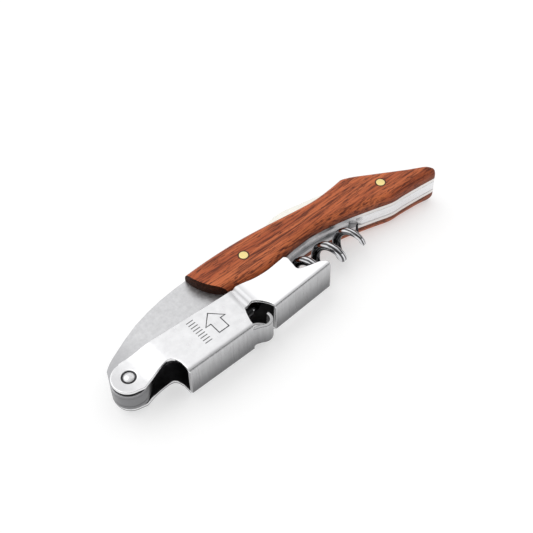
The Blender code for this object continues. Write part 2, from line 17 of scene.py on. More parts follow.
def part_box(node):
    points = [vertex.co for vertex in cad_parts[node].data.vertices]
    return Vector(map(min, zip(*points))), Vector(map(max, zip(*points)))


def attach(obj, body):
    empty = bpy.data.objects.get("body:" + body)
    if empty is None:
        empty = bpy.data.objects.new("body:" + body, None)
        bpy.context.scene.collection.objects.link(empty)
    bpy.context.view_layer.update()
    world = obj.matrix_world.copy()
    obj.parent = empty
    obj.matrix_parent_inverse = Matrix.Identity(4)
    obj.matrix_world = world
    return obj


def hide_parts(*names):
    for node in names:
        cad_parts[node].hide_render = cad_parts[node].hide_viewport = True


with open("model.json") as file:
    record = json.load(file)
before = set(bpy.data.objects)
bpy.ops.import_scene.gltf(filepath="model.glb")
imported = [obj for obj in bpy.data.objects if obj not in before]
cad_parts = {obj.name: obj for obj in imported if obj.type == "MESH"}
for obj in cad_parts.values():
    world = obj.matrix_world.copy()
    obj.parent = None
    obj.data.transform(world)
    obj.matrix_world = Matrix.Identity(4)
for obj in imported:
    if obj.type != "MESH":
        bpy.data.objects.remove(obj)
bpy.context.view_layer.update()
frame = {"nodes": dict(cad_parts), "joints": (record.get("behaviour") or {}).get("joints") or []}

bl_info = {
    "name": "Waiter's corkscrew",
    "version": (1, 0, 0),
    "blender": (4, 5, 0),
    "location": "View3D > Sidebar > Corkscrew",
    "description": "Builds the wood, sheet-metal levers, worm and pins of a waiter's corkscrew",
    "category": "Add Mesh",
}

MM = 0.001
RIVET = np.array(next(j for j in frame["joints"] if j["name"] == "lever_swing")["pos_m"])


def above_middle(value):
    """A frame height in metres as millimetres above the middle of the handle."""
    return (value - RIVET[2]) / MM


# Heights of the stack, read from the frame.
LINER_Z = above_middle(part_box("liner_upper")[1].z)
WOOD_TOP = above_middle(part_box("scale_upper")[1].z)
LEVER_HALF_W = above_middle(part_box("lever_foot")[1].z)

# Handle outline in plan.
TAIL_X = 112.25
KNEE = (88.3, 14.2)
THROAT = (90.0, 0.0)
BACK_EDGE = [(-2.9, 6.0), (-0.8, 7.6), (3.0, 9.5), (11.6, 13.1), (21.8, 15.4), (31.9, 16.25),
             (42.0, 16.5), (52.0, 16.1), (62.0, 15.0), (72.0, 13.7), (77.5, 13.3), (83.0, 13.6),
             KNEE]
TAIL_EDGE = [KNEE, (91.4, 12.8), (97.3, 9.2), (103.5, 5.4), (TAIL_X - 2.85, 1.7),
             (TAIL_X - 0.95, 0.1), (TAIL_X - 0.15, -1.1), (TAIL_X, -2.0)]
TAIL_FRONT = [(TAIL_X, -2.0), (TAIL_X - 0.4, -2.7), (TAIL_X - 1.5, -2.8), (TAIL_X - 6.0, -2.3),
              (99.7, -1.75), (95.2, -1.5), THROAT]
FRONT_EDGE = [THROAT, (84.0, 1.7), (80.5, 2.6), (74.0, 3.9), (67.4, 4.6), (61.0, 4.25),
              (54.2, 3.3), (48.8, 2.75), (43.5, 3.25), (38.4, 4.5)]
WOOD_END_C = (45.5, 16.0)
WOOD_END_R = 14.3
BRASS_FRONT = (47.3, 9.9)
BRASS_REAR = (95.5, 4.3)
BRASS_R = 1.36

PALE_GAIN = 1.12                # the brightest polished steel against the plain one

# Sheet-metal lever.
SHEET = 1.0
BEND_R = 1.4
EAR_R = 4.85
EAR_HALF_W = above_middle(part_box("lever_rivet")[1].z) - 0.4
RIVET_SINK_R = 2.05
RIVET_HEAD_R = 1.58
WEB_Y = -9.85
WEB_X0 = 12.4
ARM_END_LOW = 34.1
ARM_END_TOP = (37.3, 3.3)
JOGGLE_X0, JOGGLE_X1 = 2.6, 10.6
LIP_CENTRE = (38.5, -8.47)
LIP_OUTER_R = 2.83
TONGUE_HALF_W = 3.62
FOOT_HINGE = (33.0, -5.5)
FOOT_EAR_R = 2.4
FOOT_RAMP_X0, FOOT_RAMP_X1 = 37.5, 39.1
FOOT_STEP = SHEET + 0.1
FOOT_WEB_X0 = 42.7
FOOT_WEB_Y = -8.85
FOOT_WEB_SLOPE = 0.055
FOOT_END_X = 64.4
FOOT_PEAK = (55.7, 2.75)

# Worm.
COIL_R = 3.15
WIRE_R = 1.3
COIL_PITCH = 8.3
COIL_Y = -1.6
COIL_TIP_X = 84.0
COIL_START_X, COIL_FULL_X = 41.0, 46.5
COIL_FIRST_X = 37.6
TAPER_TURNS = 1.1
# Painted dark reflection bands on the wire: middle and half width of each, in the sine of the angle round the wire.
COIL_REFLECTION_BANDS = ((0.45, 0.30), (-0.28, 0.24), (-0.98, 0.30))
TIP_R = 0.22


# ---------------------------------------------------------------- sizes and colours a user may change

class CorkscrewShape(bpy.types.PropertyGroup):
    edge_across: FloatProperty(
        name="Wood edge, across", description="Width of the rounding along the wood's edges",
        default=2.6 * MM, min=0.5 * MM, max=4 * MM, unit="LENGTH")
    edge_down: FloatProperty(
        name="Wood edge, down", description="Height of the rounding along the wood's edges",
        default=3.0 * MM, min=0.5 * MM, max=3.6 * MM, unit="LENGTH")
    sheet_rounding: FloatProperty(
        name="Sheet edge rounding", description="Rounding of the lever's cut edges",
        default=0.24 * MM, min=0.05 * MM, max=0.45 * MM, unit="LENGTH")
    plate_rounding: FloatProperty(
        name="Plate edge rounding", description="Rounding of the liners' and blocks' edges",
        default=0.08 * MM, min=0.02 * MM, max=0.4 * MM, unit="LENGTH")
    mark_width: FloatProperty(
        name="Mark width", description="Line width of the engraved arrow and ticks",
        default=0.3 * MM, min=0.1 * MM, max=0.6 * MM, unit="LENGTH")
    tick_count: IntProperty(
        name="Ticks", description="Number of engraved tick lines beside the arrow",
        default=9, min=2, max=20)


class CorkscrewFinish(bpy.types.PropertyGroup):
    wood: FloatVectorProperty(
        name="Wood", description="Main colour of the oiled wood", subtype="COLOR",
        default=(0.44, 0.094, 0.029), min=0, max=1)
    wood_light: FloatVectorProperty(
        name="Wood, light bands", description="Colour of the light bands in the wood", subtype="COLOR",
        default=(0.60, 0.155, 0.052), min=0, max=1)
    wood_dark: FloatVectorProperty(
        name="Wood, dark streaks", description="Colour of the dark streaks and pores", subtype="COLOR",
        default=(0.085, 0.015, 0.006), min=0, max=1)
    steel: FloatVectorProperty(
        name="Steel", description="Colour of the bright sheet steel", subtype="COLOR",
        default=(0.86, 0.86, 0.87), min=0, max=1)
    steel_dark: FloatVectorProperty(
        name="Steel, worn grain", description="Colour in the grain of the steel", subtype="COLOR",
        default=(0.50, 0.50, 0.51), min=0, max=1)
    brass: FloatVectorProperty(
        name="Brass", description="Colour of the scale pins", subtype="COLOR",
        default=(0.90, 0.74, 0.32), min=0, max=1)


class CorkscrewStudio(bpy.types.PropertyGroup):
    key: FloatProperty(name="Key light", description="Strength of the large soft light", default=0.3, min=0, max=20)
    key_size: FloatProperty(
        name="Key size", description="Angle that the soft light spans", default=math.radians(50),
        min=0, max=math.pi, subtype="ANGLE")
    sky: FloatProperty(name="Tent light", description="Strength of the light tent overhead", default=1.12, min=0,
                       max=5)
    lens: FloatProperty(name="Lens", description="Focal length of the camera", default=70.65, min=10, max=300)


# ---------------------------------------------------------------- points, curves and meshes

def place(points):
    """Plan millimetres to frame metres."""
    return np.asarray(points, float) * MM + RIVET


def curve_through(points, steps):
    """Catmull-Rom curve: each span is half of 2b + (c-a)t + (2a-5b+4c-d)t^2 + (3b-a-3c+d)t^3."""
    knots = np.asarray(points, float)
    knots = np.vstack([2 * knots[0] - knots[1], knots, 2 * knots[-1] - knots[-2]])
    a, b, c, d = (knots[i:len(knots) - 3 + i, None, :] for i in range(4))
    t = (np.arange(steps) / steps)[None, :, None]
    spans = 0.5 * (2 * b + (c - a) * t + (2 * a - 5 * b + 4 * c - d) * t ** 2 + (3 * b - a - 3 * c + d) * t ** 3)
    return np.vstack([spans.reshape(-1, knots.shape[1]), knots[-2]])


def arc(centre, radius, start, end, steps):
    """Points at centre + radius (cos a, sin a), with the angle a going evenly from start to end degrees."""
    angle = np.radians(np.linspace(start, end, steps + 1))
    return np.stack([centre[0] + radius * np.cos(angle), centre[1] + radius * np.sin(angle)], 1)


def ease(value):
    """Smooth step 3v^2 - 2v^3 of a value clipped to 0..1."""
    value = np.clip(value, 0.0, 1.0)
    return value * value * (3 - 2 * value)


def respaced(points, gap):
    """The same polyline with points an even distance of about gap apart, both ends kept."""
    points = np.asarray(points, float)
    run = np.concatenate([[0], np.cumsum(np.hypot(*np.diff(points, axis=0).T))])
    at = np.linspace(0, run[-1], max(2, int(round(run[-1] / gap)) + 1))
    return np.stack([np.interp(at, run, points[:, k]) for k in range(points.shape[1])], 1)


def grid_quads(rows, cols, close_rows=False, close_cols=False, first=0):
    """Quads of a grid whose vertex (i, j) has the number first + i cols + j."""
    i, j = np.meshgrid(np.arange(rows if close_rows else rows - 1), np.arange(cols if close_cols else cols - 1),
                       indexing="ij")
    i, j = i.ravel(), j.ravel()
    ni, nj = (i + 1) % rows, (j + 1) % cols
    return np.stack([i * cols + j, ni * cols + j, ni * cols + nj, i * cols + nj], 1) + first


def make_piece(name, points, faces, looks, body, slot=None, replaced=(), index=None, sharp=35.0, around=None):
    """A merged mesh object in the frame that rides on a body; points are plan millimetres.

    around, where given, is a vector for each point, kept as the mesh attribute of that name.
    """
    mesh = bpy.data.meshes.new(name)
    mesh.from_pydata(place(points).tolist(), [], faces if isinstance(faces, list) else faces.tolist())
    if around is not None:
        mesh.attributes.new("around", "FLOAT_VECTOR", "POINT").data.foreach_set("vector", around.ravel())
    for look in looks:
        mesh.materials.append(look)
    if index is not None:
        mesh.polygons.foreach_set("material_index", np.asarray(index, np.int32))
    work = bmesh.new()
    work.from_mesh(mesh)
    bmesh.ops.remove_doubles(work, verts=work.verts, dist=2e-6)
    bmesh.ops.dissolve_degenerate(work, edges=work.edges, dist=1e-6)
    loose = [v for v in work.verts if not v.link_faces]
    bmesh.ops.delete(work, geom=loose, context="VERTS")
    bmesh.ops.recalc_face_normals(work, faces=work.faces)
    work.to_mesh(mesh)
    work.free()
    return finish_piece(name, mesh, body, slot, replaced, sharp)


def finish_piece(name, mesh, body, slot, replaced, sharp):
    """Smooth shading with sharp corners; the piece rides on its body, and the CAD parts it replaces are hidden."""
    mesh.shade_smooth()
    mesh.set_sharp_from_angle(angle=math.radians(sharp))
    piece = bpy.data.objects.new(name, mesh)
    bpy.context.scene.collection.objects.link(piece)
    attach(piece, body)
    if replaced:
        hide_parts(*replaced)
    return piece


def round_edges(piece, width, angle=40.0, segments=3):
    """A Bevel modifier over the edges sharper than the angle."""
    bevel = piece.modifiers.new("rounded_edges", "BEVEL")
    bevel.width = width
    bevel.segments = segments
    bevel.limit_method = "ANGLE"
    bevel.angle_limit = math.radians(angle)
    bevel.harden_normals = True
    bevel.use_clamp_overlap = True
    bevel.miter_outer = "MITER_ARC"
    return bevel


def rounded_copy(node, name, look, body, slot, width):
    """A copy of a CAD node with its loose triangles merged, its flats made whole and its edges rounded."""
    mesh = frame["nodes"][node].data.copy()
    mesh.name = name
    mesh.materials.clear()
    mesh.materials.append(look)
    work = bmesh.new()
    work.from_mesh(mesh)
    bmesh.ops.remove_doubles(work, verts=work.verts, dist=2e-6)
    bmesh.ops.dissolve_limit(work, angle_limit=math.radians(1.0), verts=work.verts, edges=work.edges)
    work.to_mesh(mesh)
    work.free()
    mesh.polygons.foreach_set("material_index", np.zeros(len(mesh.polygons), np.int32))
    piece = finish_piece(name, mesh, body, slot, (node,), 30.0)
    round_edges(piece, width, 35.0, 2)
    return piece


def turned_piece(name, centre, profile, look, body, slot=None, replaced=(), sides=64, mirrored=True):
    """A solid of revolution: (r cos a, r sin a, z) for each profile point (r, z), and its mirror image below."""
    profile = np.asarray(profile, float)
    if mirrored:
        profile = np.vstack([profile, profile[::-1] * (1, -1)])
    angle = 2 * np.pi * np.arange(sides) / sides
    r, z = profile[:, 0][:, None], profile[:, 1][:, None]
    points = np.stack([centre[0] + r * np.cos(angle), centre[1] + r * np.sin(angle), z + 0 * angle], 2)
    quads = grid_quads(len(profile), sides, close_cols=True)
    return make_piece(name, points.reshape(-1, 3), quads, [look], body, slot, replaced)


# ---------------------------------------------------------------- material nodes

class Graph:
    """Short calls to add and join the nodes of one tree."""

    def __init__(self, tree):
        self.tree = tree

    def add(self, kind, inputs=None, **settings):
        node = self.tree.nodes.new(kind)
        for key, value in settings.items():
            setattr(node, key, value)
        for key, value in (inputs or {}).items():
            socket = node.inputs[key]
            if isinstance(value, bpy.types.NodeSocket):
                self.tree.links.new(value, socket)
            else:
                socket.default_value = value
        return node

    def math(self, operation, a, b=0.0, clamp=False):
        return self.add("ShaderNodeMath", {0: a, 1: b}, operation=operation, use_clamp=clamp).outputs[0]

    def noise(self, vector, detail=4.0, rough=0.55, scale=1.0):
        return self.add("ShaderNodeTexNoise", {"Vector": vector, "Scale": scale, "Detail": detail,
                                               "Roughness": rough}).outputs["Fac"]

    def scaled(self, vector, scale):
        return self.add("ShaderNodeVectorMath", {0: vector, 1: scale}, operation="MULTIPLY").outputs[0]

    def ramp(self, value, low, high, start=0.0, end=1.0, smooth=True):
        """Maps low..high to start..end."""
        return self.add("ShaderNodeMapRange", {"Value": value, "From Min": low, "From Max": high, "To Min": start,
                                               "To Max": end},
                        interpolation_type="SMOOTHSTEP" if smooth else "LINEAR").outputs["Result"]

    def mix(self, factor, a, b):
        node = self.add("ShaderNodeMix", data_type="RGBA")
        for socket, value in ((node.inputs[0], factor), (node.inputs[6], a), (node.inputs[7], b)):
            if isinstance(value, bpy.types.NodeSocket):
                self.tree.links.new(value, socket)
            else:
                socket.default_value = value
        return node.outputs[2]

    def axes(self, vector):
        return self.add("ShaderNodeSeparateXYZ", {0: vector}).outputs


def new_group(name, inputs, outputs):
    """An empty node group with named sockets; returns its graph, its inputs and its output node."""
    group = bpy.data.node_groups.new(name, "ShaderNodeTree")
    for label, kind, default in inputs:
        socket = group.interface.new_socket(name=label, in_out="INPUT", socket_type="NodeSocket" + kind)
        if default is not None:
            socket.default_value = default
    for label, kind in outputs:
        group.interface.new_socket(name=label, in_out="OUTPUT", socket_type="NodeSocket" + kind)
    graph = Graph(group)
    return graph, graph.add("NodeGroupInput").outputs, graph.add("NodeGroupOutput")


def metal_grain_group():
    """Worked metal: stretched grain lines and soft mottling between a dark and a base colour."""
    if "Metal grain" in bpy.data.node_groups:
        return bpy.data.node_groups["Metal grain"]
    graph, inside, out = new_group("Metal grain", [
        ("Base", "Color", (0.8, 0.8, 0.8, 1)), ("Dark", "Color", (0.4, 0.4, 0.4, 1)),
        ("Grain scale", "Vector", (900, 900, 60)), ("Grain", "Float", 1.0), ("Mottle", "Float", 0.5),
        ("Level", "Float", 0.75), ("Roughness", "Float", 0.3), ("Spread", "Float", 0.2), ("Bump", "Float", 0.2),
    ], [("Color", "Color"), ("Roughness", "Float"), ("Normal", "Vector")])
    place_in = graph.add("ShaderNodeTexCoord").outputs["Object"]
    lines = graph.noise(graph.scaled(place_in, inside["Grain scale"]), 5.0, 0.6)
    cloud = graph.noise(place_in, 4.0, 0.6, 420.0)
    lines_off = graph.math("SUBTRACT", lines, 0.5)
    shade = graph.math("MULTIPLY_ADD", lines_off, inside["Grain"])
    graph.tree.links.new(inside["Level"], shade.node.inputs[2])
    mottled = graph.math("MULTIPLY_ADD", graph.math("SUBTRACT", cloud, 0.5), inside["Mottle"], True)
    graph.tree.links.new(shade, mottled.node.inputs[2])
    colour = graph.mix(mottled, inside["Dark"], inside["Base"])
    rough = graph.math("MULTIPLY_ADD", lines_off, inside["Spread"], True)
    graph.tree.links.new(inside["Roughness"], rough.node.inputs[2])
    bump = graph.add("ShaderNodeBump", {"Strength": inside["Bump"], "Distance": 0.00004, "Height": lines})
    for label, value in (("Color", colour), ("Roughness", rough), ("Normal", bump.outputs[0])):
        graph.tree.links.new(value, out.inputs[label])
    return graph.tree


def new_look(name, metallic, roughness=0.4):
    """A material with its graph and Principled shader."""
    look = bpy.data.materials.new(name)
    look.use_nodes = True
    shader = look.node_tree.nodes["Principled BSDF"]
    shader.inputs["Metallic"].default_value = metallic
    shader.inputs["Roughness"].default_value = roughness
    return look, Graph(look.node_tree), shader


def metal_look(name, base, dark, grain_scale, grain, mottle, level, rough, spread, bump, shade=None):
    """A metal built on the grain group; shade(graph, colour) may paint shade or reflections into parts of it."""
    if name in bpy.data.materials:
        return bpy.data.materials[name]
    look, graph, shader = new_look(name, 1.0)
    worked = graph.add("ShaderNodeGroup", node_tree=metal_grain_group())
    for key, value in (("Base", (*base, 1)), ("Dark", (*dark, 1)), ("Grain scale", grain_scale), ("Grain", grain),
                       ("Mottle", mottle), ("Level", level), ("Roughness", rough), ("Spread", spread),
                       ("Bump", bump)):
        worked.inputs[key].default_value = value
    colour = worked.outputs["Color"]
    if shade:
        colour = shade(graph, colour)
    graph.tree.links.new(colour, shader.inputs["Base Color"])
    graph.tree.links.new(worked.outputs["Roughness"], shader.inputs["Roughness"])
    graph.tree.links.new(worked.outputs["Normal"], shader.inputs["Normal"])
    return look


def frame_place(graph):
    """Object coordinates as plan X, Y and height from the middle, in millimetres."""
    raw = graph.add("ShaderNodeTexCoord").outputs["Object"]
    moved = graph.add("ShaderNodeVectorMath", {0: raw, 1: tuple(RIVET)}, operation="SUBTRACT").outputs[0]
    return graph.axes(graph.scaled(moved, (1 / MM, 1 / MM, 1 / MM)))


def finish_colours():
    return bpy.context.scene.corkscrew_finish


def web_shade(graph, colour):
    """The wall of a channel, with painted shade darker towards its lower edge, where it reflects the shadowed floor.
    """
    z = frame_place(graph)[2]
    painted_fade = graph.ramp(z, -LEVER_HALF_W, LEVER_HALF_W, 0.86, 0.30)
    return graph.mix(painted_fade, colour, (0.05, 0.05, 0.053, 1))


def rim_shade(graph, colour):
    """The cut edges, with painted shade as the light falls from above: bright on the upper cheek, greyer down the
    web's start, dark under the lower cheek.
    """
    x, _, z = frame_place(graph)
    half = graph.ramp(x, JOGGLE_X0, JOGGLE_X1, EAR_HALF_W, LEVER_HALF_W)
    under = graph.math("ADD", half, z)
    low = graph.ramp(under, 0.62 * SHEET, 0.42 * SHEET, 0.0, 0.9)
    middle_shade = graph.math("MULTIPLY", graph.ramp(under, 1.05 * SHEET, 1.5 * SHEET),
                         graph.ramp(graph.math("SUBTRACT", half, z), 0.9 * SHEET, 1.3 * SHEET, 0.0, 0.55))
    return graph.mix(graph.math("ADD", low, middle_shade), colour, (0.05, 0.05, 0.053, 1))


def cheek_shade(graph, colour):
    """The cheeks, with painted shade: a little greyer round the rivet, and a painted shadow where the first channel
    ends over the second.
    """
    x = frame_place(graph)[0]
    ear = graph.ramp(x, 4.0, -5.0, 0.0, 0.55)
    lap_shadow = graph.math("MULTIPLY", graph.ramp(x, 35.0, 36.5), graph.ramp(x, 42.0, 38.6, 0.0, 0.72))
    return graph.mix(graph.math("ADD", ear, lap_shadow), colour, (0.42, 0.42, 0.43, 1))


def core_shade(graph, colour):
    """The core, with painted shade and reflections: near black inside the channel, greyer at the rivet end, dark on
    its end wall; lighter at the tail, tinted pink as a painted reflection of the wood.
    """
    x, y, z = frame_place(graph)
    # Painted shade: the channel's inside, under the cheeks, made near black.
    inside = graph.math("MULTIPLY", graph.ramp(x, 2.4, 4.2), graph.ramp(y, 1.2, -0.6))
    inside = graph.math("MULTIPLY", inside, graph.ramp(x, 42.0, 36.0))
    colour = graph.mix(inside, colour, (0.012, 0.012, 0.013, 1))
    # Painted dark reflection on the core's end wall by the rivet.
    wall = graph.ramp(graph.math("ABSOLUTE", z), LINER_Z - 0.02, LINER_Z - 0.35, 0.0, 0.84)
    wall = graph.math("MULTIPLY", wall, graph.ramp(x, 6.0, 2.0))
    colour = graph.mix(wall, colour, (0.06, 0.06, 0.062, 1))
    # Painted shade: greyer towards the rivet end, beside the ear.
    colour = graph.mix(graph.ramp(x, 12.0, -2.0, 0.0, 0.55), colour, (0.28, 0.28, 0.29, 1))
    # Lighter at the tail, with a pink tint that is a painted reflection of the wood.
    return graph.mix(graph.ramp(x, 82.0, 86.0, 0.0, 0.9), colour, (0.80, 0.77, 0.75, 1))


def steel(kind):
    """The steels by name: each is the grain group with its own values."""
    paint = finish_colours()
    base, dark = tuple(paint.steel), tuple(paint.steel_dark)
    pale = tuple(min(1.0, PALE_GAIN * v) for v in base)
    kinds = {
        "cheek": dict(grain_scale=(500, 500, 500), grain=0.35, mottle=0.55, level=0.62, rough=0.30, spread=0.16,
                      bump=0.10, shade=cheek_shade),
        "cheek_fine": dict(base=pale, grain_scale=(300, 300, 900), grain=0.12, mottle=0.12, level=0.97, rough=0.30,
                           spread=0.08, bump=0.02, shade=cheek_shade),
        "web": dict(grain_scale=(1500, 1500, 90), grain=1.1, mottle=0.5, level=0.62, rough=0.30, spread=0.3,
                    bump=0.30, shade=web_shade),
        "rim": dict(grain_scale=(1200, 1200, 1200), grain=0.5, mottle=0.3, level=0.95, rough=0.18, spread=0.2,
                    bump=0.08, shade=rim_shade),
        "blade": dict(base=(0.88, 0.86, 0.79), grain_scale=(1500, 150, 900), grain=0.4, mottle=0.2, level=0.9,
                      rough=0.22, spread=0.2, bump=0.06),
        "core": dict(grain_scale=(900, 900, 500), grain=0.75, mottle=0.35, level=0.16, rough=0.36, spread=0.3,
                     bump=0.25, shade=core_shade),
        "spring": dict(grain_scale=(150, 500, 1500), grain=0.7, mottle=1.5, level=0.22, rough=0.24, spread=0.25,
                       bump=0.12),
        "bright": dict(grain_scale=(150, 500, 900), grain=0.4, mottle=0.3, level=0.82, rough=0.26, spread=0.2,
                       bump=0.05),
        "rivet": dict(grain_scale=(900, 900, 900), grain=0.6, mottle=1.6, level=0.62, rough=0.16, spread=0.1,
                      bump=0.10),
        "polished": dict(grain_scale=(900, 900, 900), grain=0.3, mottle=0.2, level=1.0, rough=0.10, spread=0.1,
                         bump=0.04),
    }
    return metal_look("steel_" + kind, **{"base": base, "dark": dark, **kinds[kind]})


def shadowed_metal():
    """Near-black steel that paints shade: the channels' inner faces, the rivet seats and the worm's hub."""
    return metal_look("steel_blackened", (0.12, 0.12, 0.125), (0.02, 0.02, 0.021), (700, 700, 700), 0.7, 0.6, 0.4,
                      0.42, 0.2, 0.2)


def coil_shade(graph, colour):
    """Painted dark reflections as bands along the wire, and painted shade on the side that faces the coil's axis.

    The mesh attribute "around" holds the cosine and sine of the angle round the wire, 0 being away from the axis.
    """
    around = graph.axes(graph.add("ShaderNodeAttribute", attribute_name="around").outputs["Vector"])
    waver = graph.math("MULTIPLY", graph.math("SUBTRACT", graph.noise(
        graph.add("ShaderNodeTexCoord").outputs["Object"], 3.0, 0.6, 300.0), 0.5), 0.5)
    side = graph.math("ADD", around[1], waver)
    outside = graph.ramp(around[0], 0.0, 0.3)
    dark = graph.ramp(around[0], 0.25, -0.35, 0.0, 0.95)
    for middle, half in COIL_REFLECTION_BANDS:
        off = graph.math("ABSOLUTE", graph.math("SUBTRACT", side, middle))
        reflection_band = graph.math("MULTIPLY", graph.ramp(off, half, 0.4 * half, 0.0, 0.93), outside)
        dark = graph.math("MAXIMUM", dark, reflection_band)
    return graph.mix(dark, colour, (0.018, 0.018, 0.02, 1))


def chrome_look():
    """Mirror chrome with faint drawing lines along the wire, and the painted reflections and shade of coil_shade."""
    return metal_look("chrome_wire", (0.74, 0.74, 0.76), (0.40, 0.40, 0.42), (700, 700, 700), 0.25, 0.25, 0.95,
                      0.09, 0.06, 0.05, coil_shade)


def brass_look():
    """Satin brass, ground flush, with fine lines across."""
    base = tuple(finish_colours().brass)
    return metal_look("brass_satin", base, tuple(0.62 * v for v in base), (1700, 300, 900), 0.8, 0.5, 0.72, 0.30, 0.25,
                      0.25)


def wood_grain_group():
    """Open-pored wood along X: broad bands, fine streaks and short dark pores, with their height."""
    graph, inside, out = new_group("Wood grain", [
        ("Base", "Color", None), ("Light", "Color", None), ("Dark", "Color", None), ("Waviness", "Float", 1.0),
    ], [("Color", "Color"), ("Roughness", "Float"), ("Height", "Float")])
    raw = graph.add("ShaderNodeTexCoord").outputs["Object"]
    swirl = graph.add("ShaderNodeTexNoise", {"Vector": graph.scaled(raw, (22, 60, 60)), "Scale": 1.0, "Detail": 2.0})
    offset = graph.add("ShaderNodeVectorMath", {0: swirl.outputs["Color"], 1: (0.5, 0.5, 0.5)}, operation="SUBTRACT")
    push = graph.scaled(graph.scaled(offset.outputs[0], (0.0, 0.0022, 0.0022)), inside["Waviness"])
    grain_at = graph.add("ShaderNodeVectorMath", {0: raw, 1: push}, operation="ADD").outputs[0]
    bands = graph.noise(graph.scaled(grain_at, (16, 330, 260)), 3.0, 0.5)
    streaks = graph.noise(graph.scaled(grain_at, (85, 1700, 1500)), 6.0, 0.66)
    pores = graph.noise(graph.scaled(grain_at, (330, 3000, 2400)), 2.5, 0.55)
    colour = graph.mix(graph.ramp(bands, 0.36, 0.66), inside["Base"], inside["Light"])
    streak_mask = graph.ramp(streaks, 0.56, 0.36, 0.0, 0.88)
    colour = graph.mix(streak_mask, colour, inside["Dark"])
    pore_mask = graph.ramp(pores, 0.435, 0.35, 0.0, 0.85)
    colour = graph.mix(pore_mask, colour, inside["Dark"])
    fleck = graph.ramp(streaks, 0.60, 0.72, 0.0, 0.5)
    colour = graph.mix(fleck, colour, inside["Light"])
    rough = graph.ramp(streaks, 0.3, 0.7, 0.62, 0.46)
    height = graph.math("SUBTRACT", streaks, graph.math("MULTIPLY", pore_mask, 0.6))
    for label, value in (("Color", colour), ("Roughness", rough), ("Height", height)):
        graph.tree.links.new(value, out.inputs[label])
    return graph.tree


def near_pin(graph, x, y, centre):
    """1 in the thin dark line round a pin, and 0 elsewhere."""
    dx = graph.math("SUBTRACT", x, centre[0])
    dy = graph.math("SUBTRACT", y, centre[1])
    reach = graph.math("SQRT", graph.math("ADD", graph.math("MULTIPLY", dx, dx), graph.math("MULTIPLY", dy, dy)))
    return graph.ramp(reach, BRASS_R + 0.46, BRASS_R + 0.22)


def wood_look(name, burnt):
    """Oiled wood; burnt is how far the surface is darkened, as on the cut end."""
    if name in bpy.data.materials:
        return bpy.data.materials[name]
    paint = finish_colours()
    look, graph, shader = new_look(name, 0.0)
    group = bpy.data.node_groups.get("Wood grain") or wood_grain_group()
    worked = graph.add("ShaderNodeGroup", node_tree=group)
    for key, value in (("Base", paint.wood), ("Light", paint.wood_light), ("Dark", paint.wood_dark)):
        worked.inputs[key].default_value = (*value, 1)
    x, y, z = frame_place(graph)
    colour = worked.outputs["Color"]
    height = graph.math("ABSOLUTE", z)
    # Painted shade: the wood darker down its sides towards the liner.
    low = graph.ramp(height, WOOD_TOP - 1.3, LINER_Z + 0.3, 0.0, 0.62)
    colour = graph.mix(low, colour, (0.075, 0.016, 0.008, 1))
    ring = graph.math("MAXIMUM", near_pin(graph, x, y, BRASS_FRONT), near_pin(graph, x, y, BRASS_REAR))
    colour = graph.mix(graph.math("MULTIPLY", ring, 0.85), colour, (0.03, 0.012, 0.006, 1))
    tail = graph.ramp(x, TAIL_X - 5.5, TAIL_X - 0.5, 0.0, 0.45)
    colour = graph.mix(tail, colour, (0.09, 0.022, 0.011, 1))
    if burnt:
        colour = graph.mix(burnt, colour, (0.008, 0.0035, 0.002, 1))
    bump = graph.add("ShaderNodeBump", {"Strength": 0.45, "Distance": 0.00012, "Height": worked.outputs["Height"]})
    graph.tree.links.new(colour, shader.inputs["Base Color"])
    graph.tree.links.new(worked.outputs["Roughness"], shader.inputs["Roughness"])
    graph.tree.links.new(bump.outputs[0], shader.inputs["Normal"])
    shader.inputs["Specular IOR Level"].default_value = 0.08 if burnt else 0.28
    return look


# ---------------------------------------------------------------- wood

def wood_section(count):
    """Section fractions: for each point, the share of the front and the back rounding, and of the flat between."""
    turn = np.linspace(0, np.pi / 2, 13)
    wall = np.linspace(0, 1, 4)[:-1]
    flat = np.linspace(0, 1, count + 2)[1:-1]
    across = np.concatenate([0 * wall, 1 - np.cos(turn), 1 + flat, 2 + np.sin(turn), 3 + 0 * wall])
    down = np.concatenate([1 + (1 - wall), 1 - np.sin(turn), 0 * flat, 1 - np.cos(turn), 1 + (1 - wall)[::-1]])
    return across, down


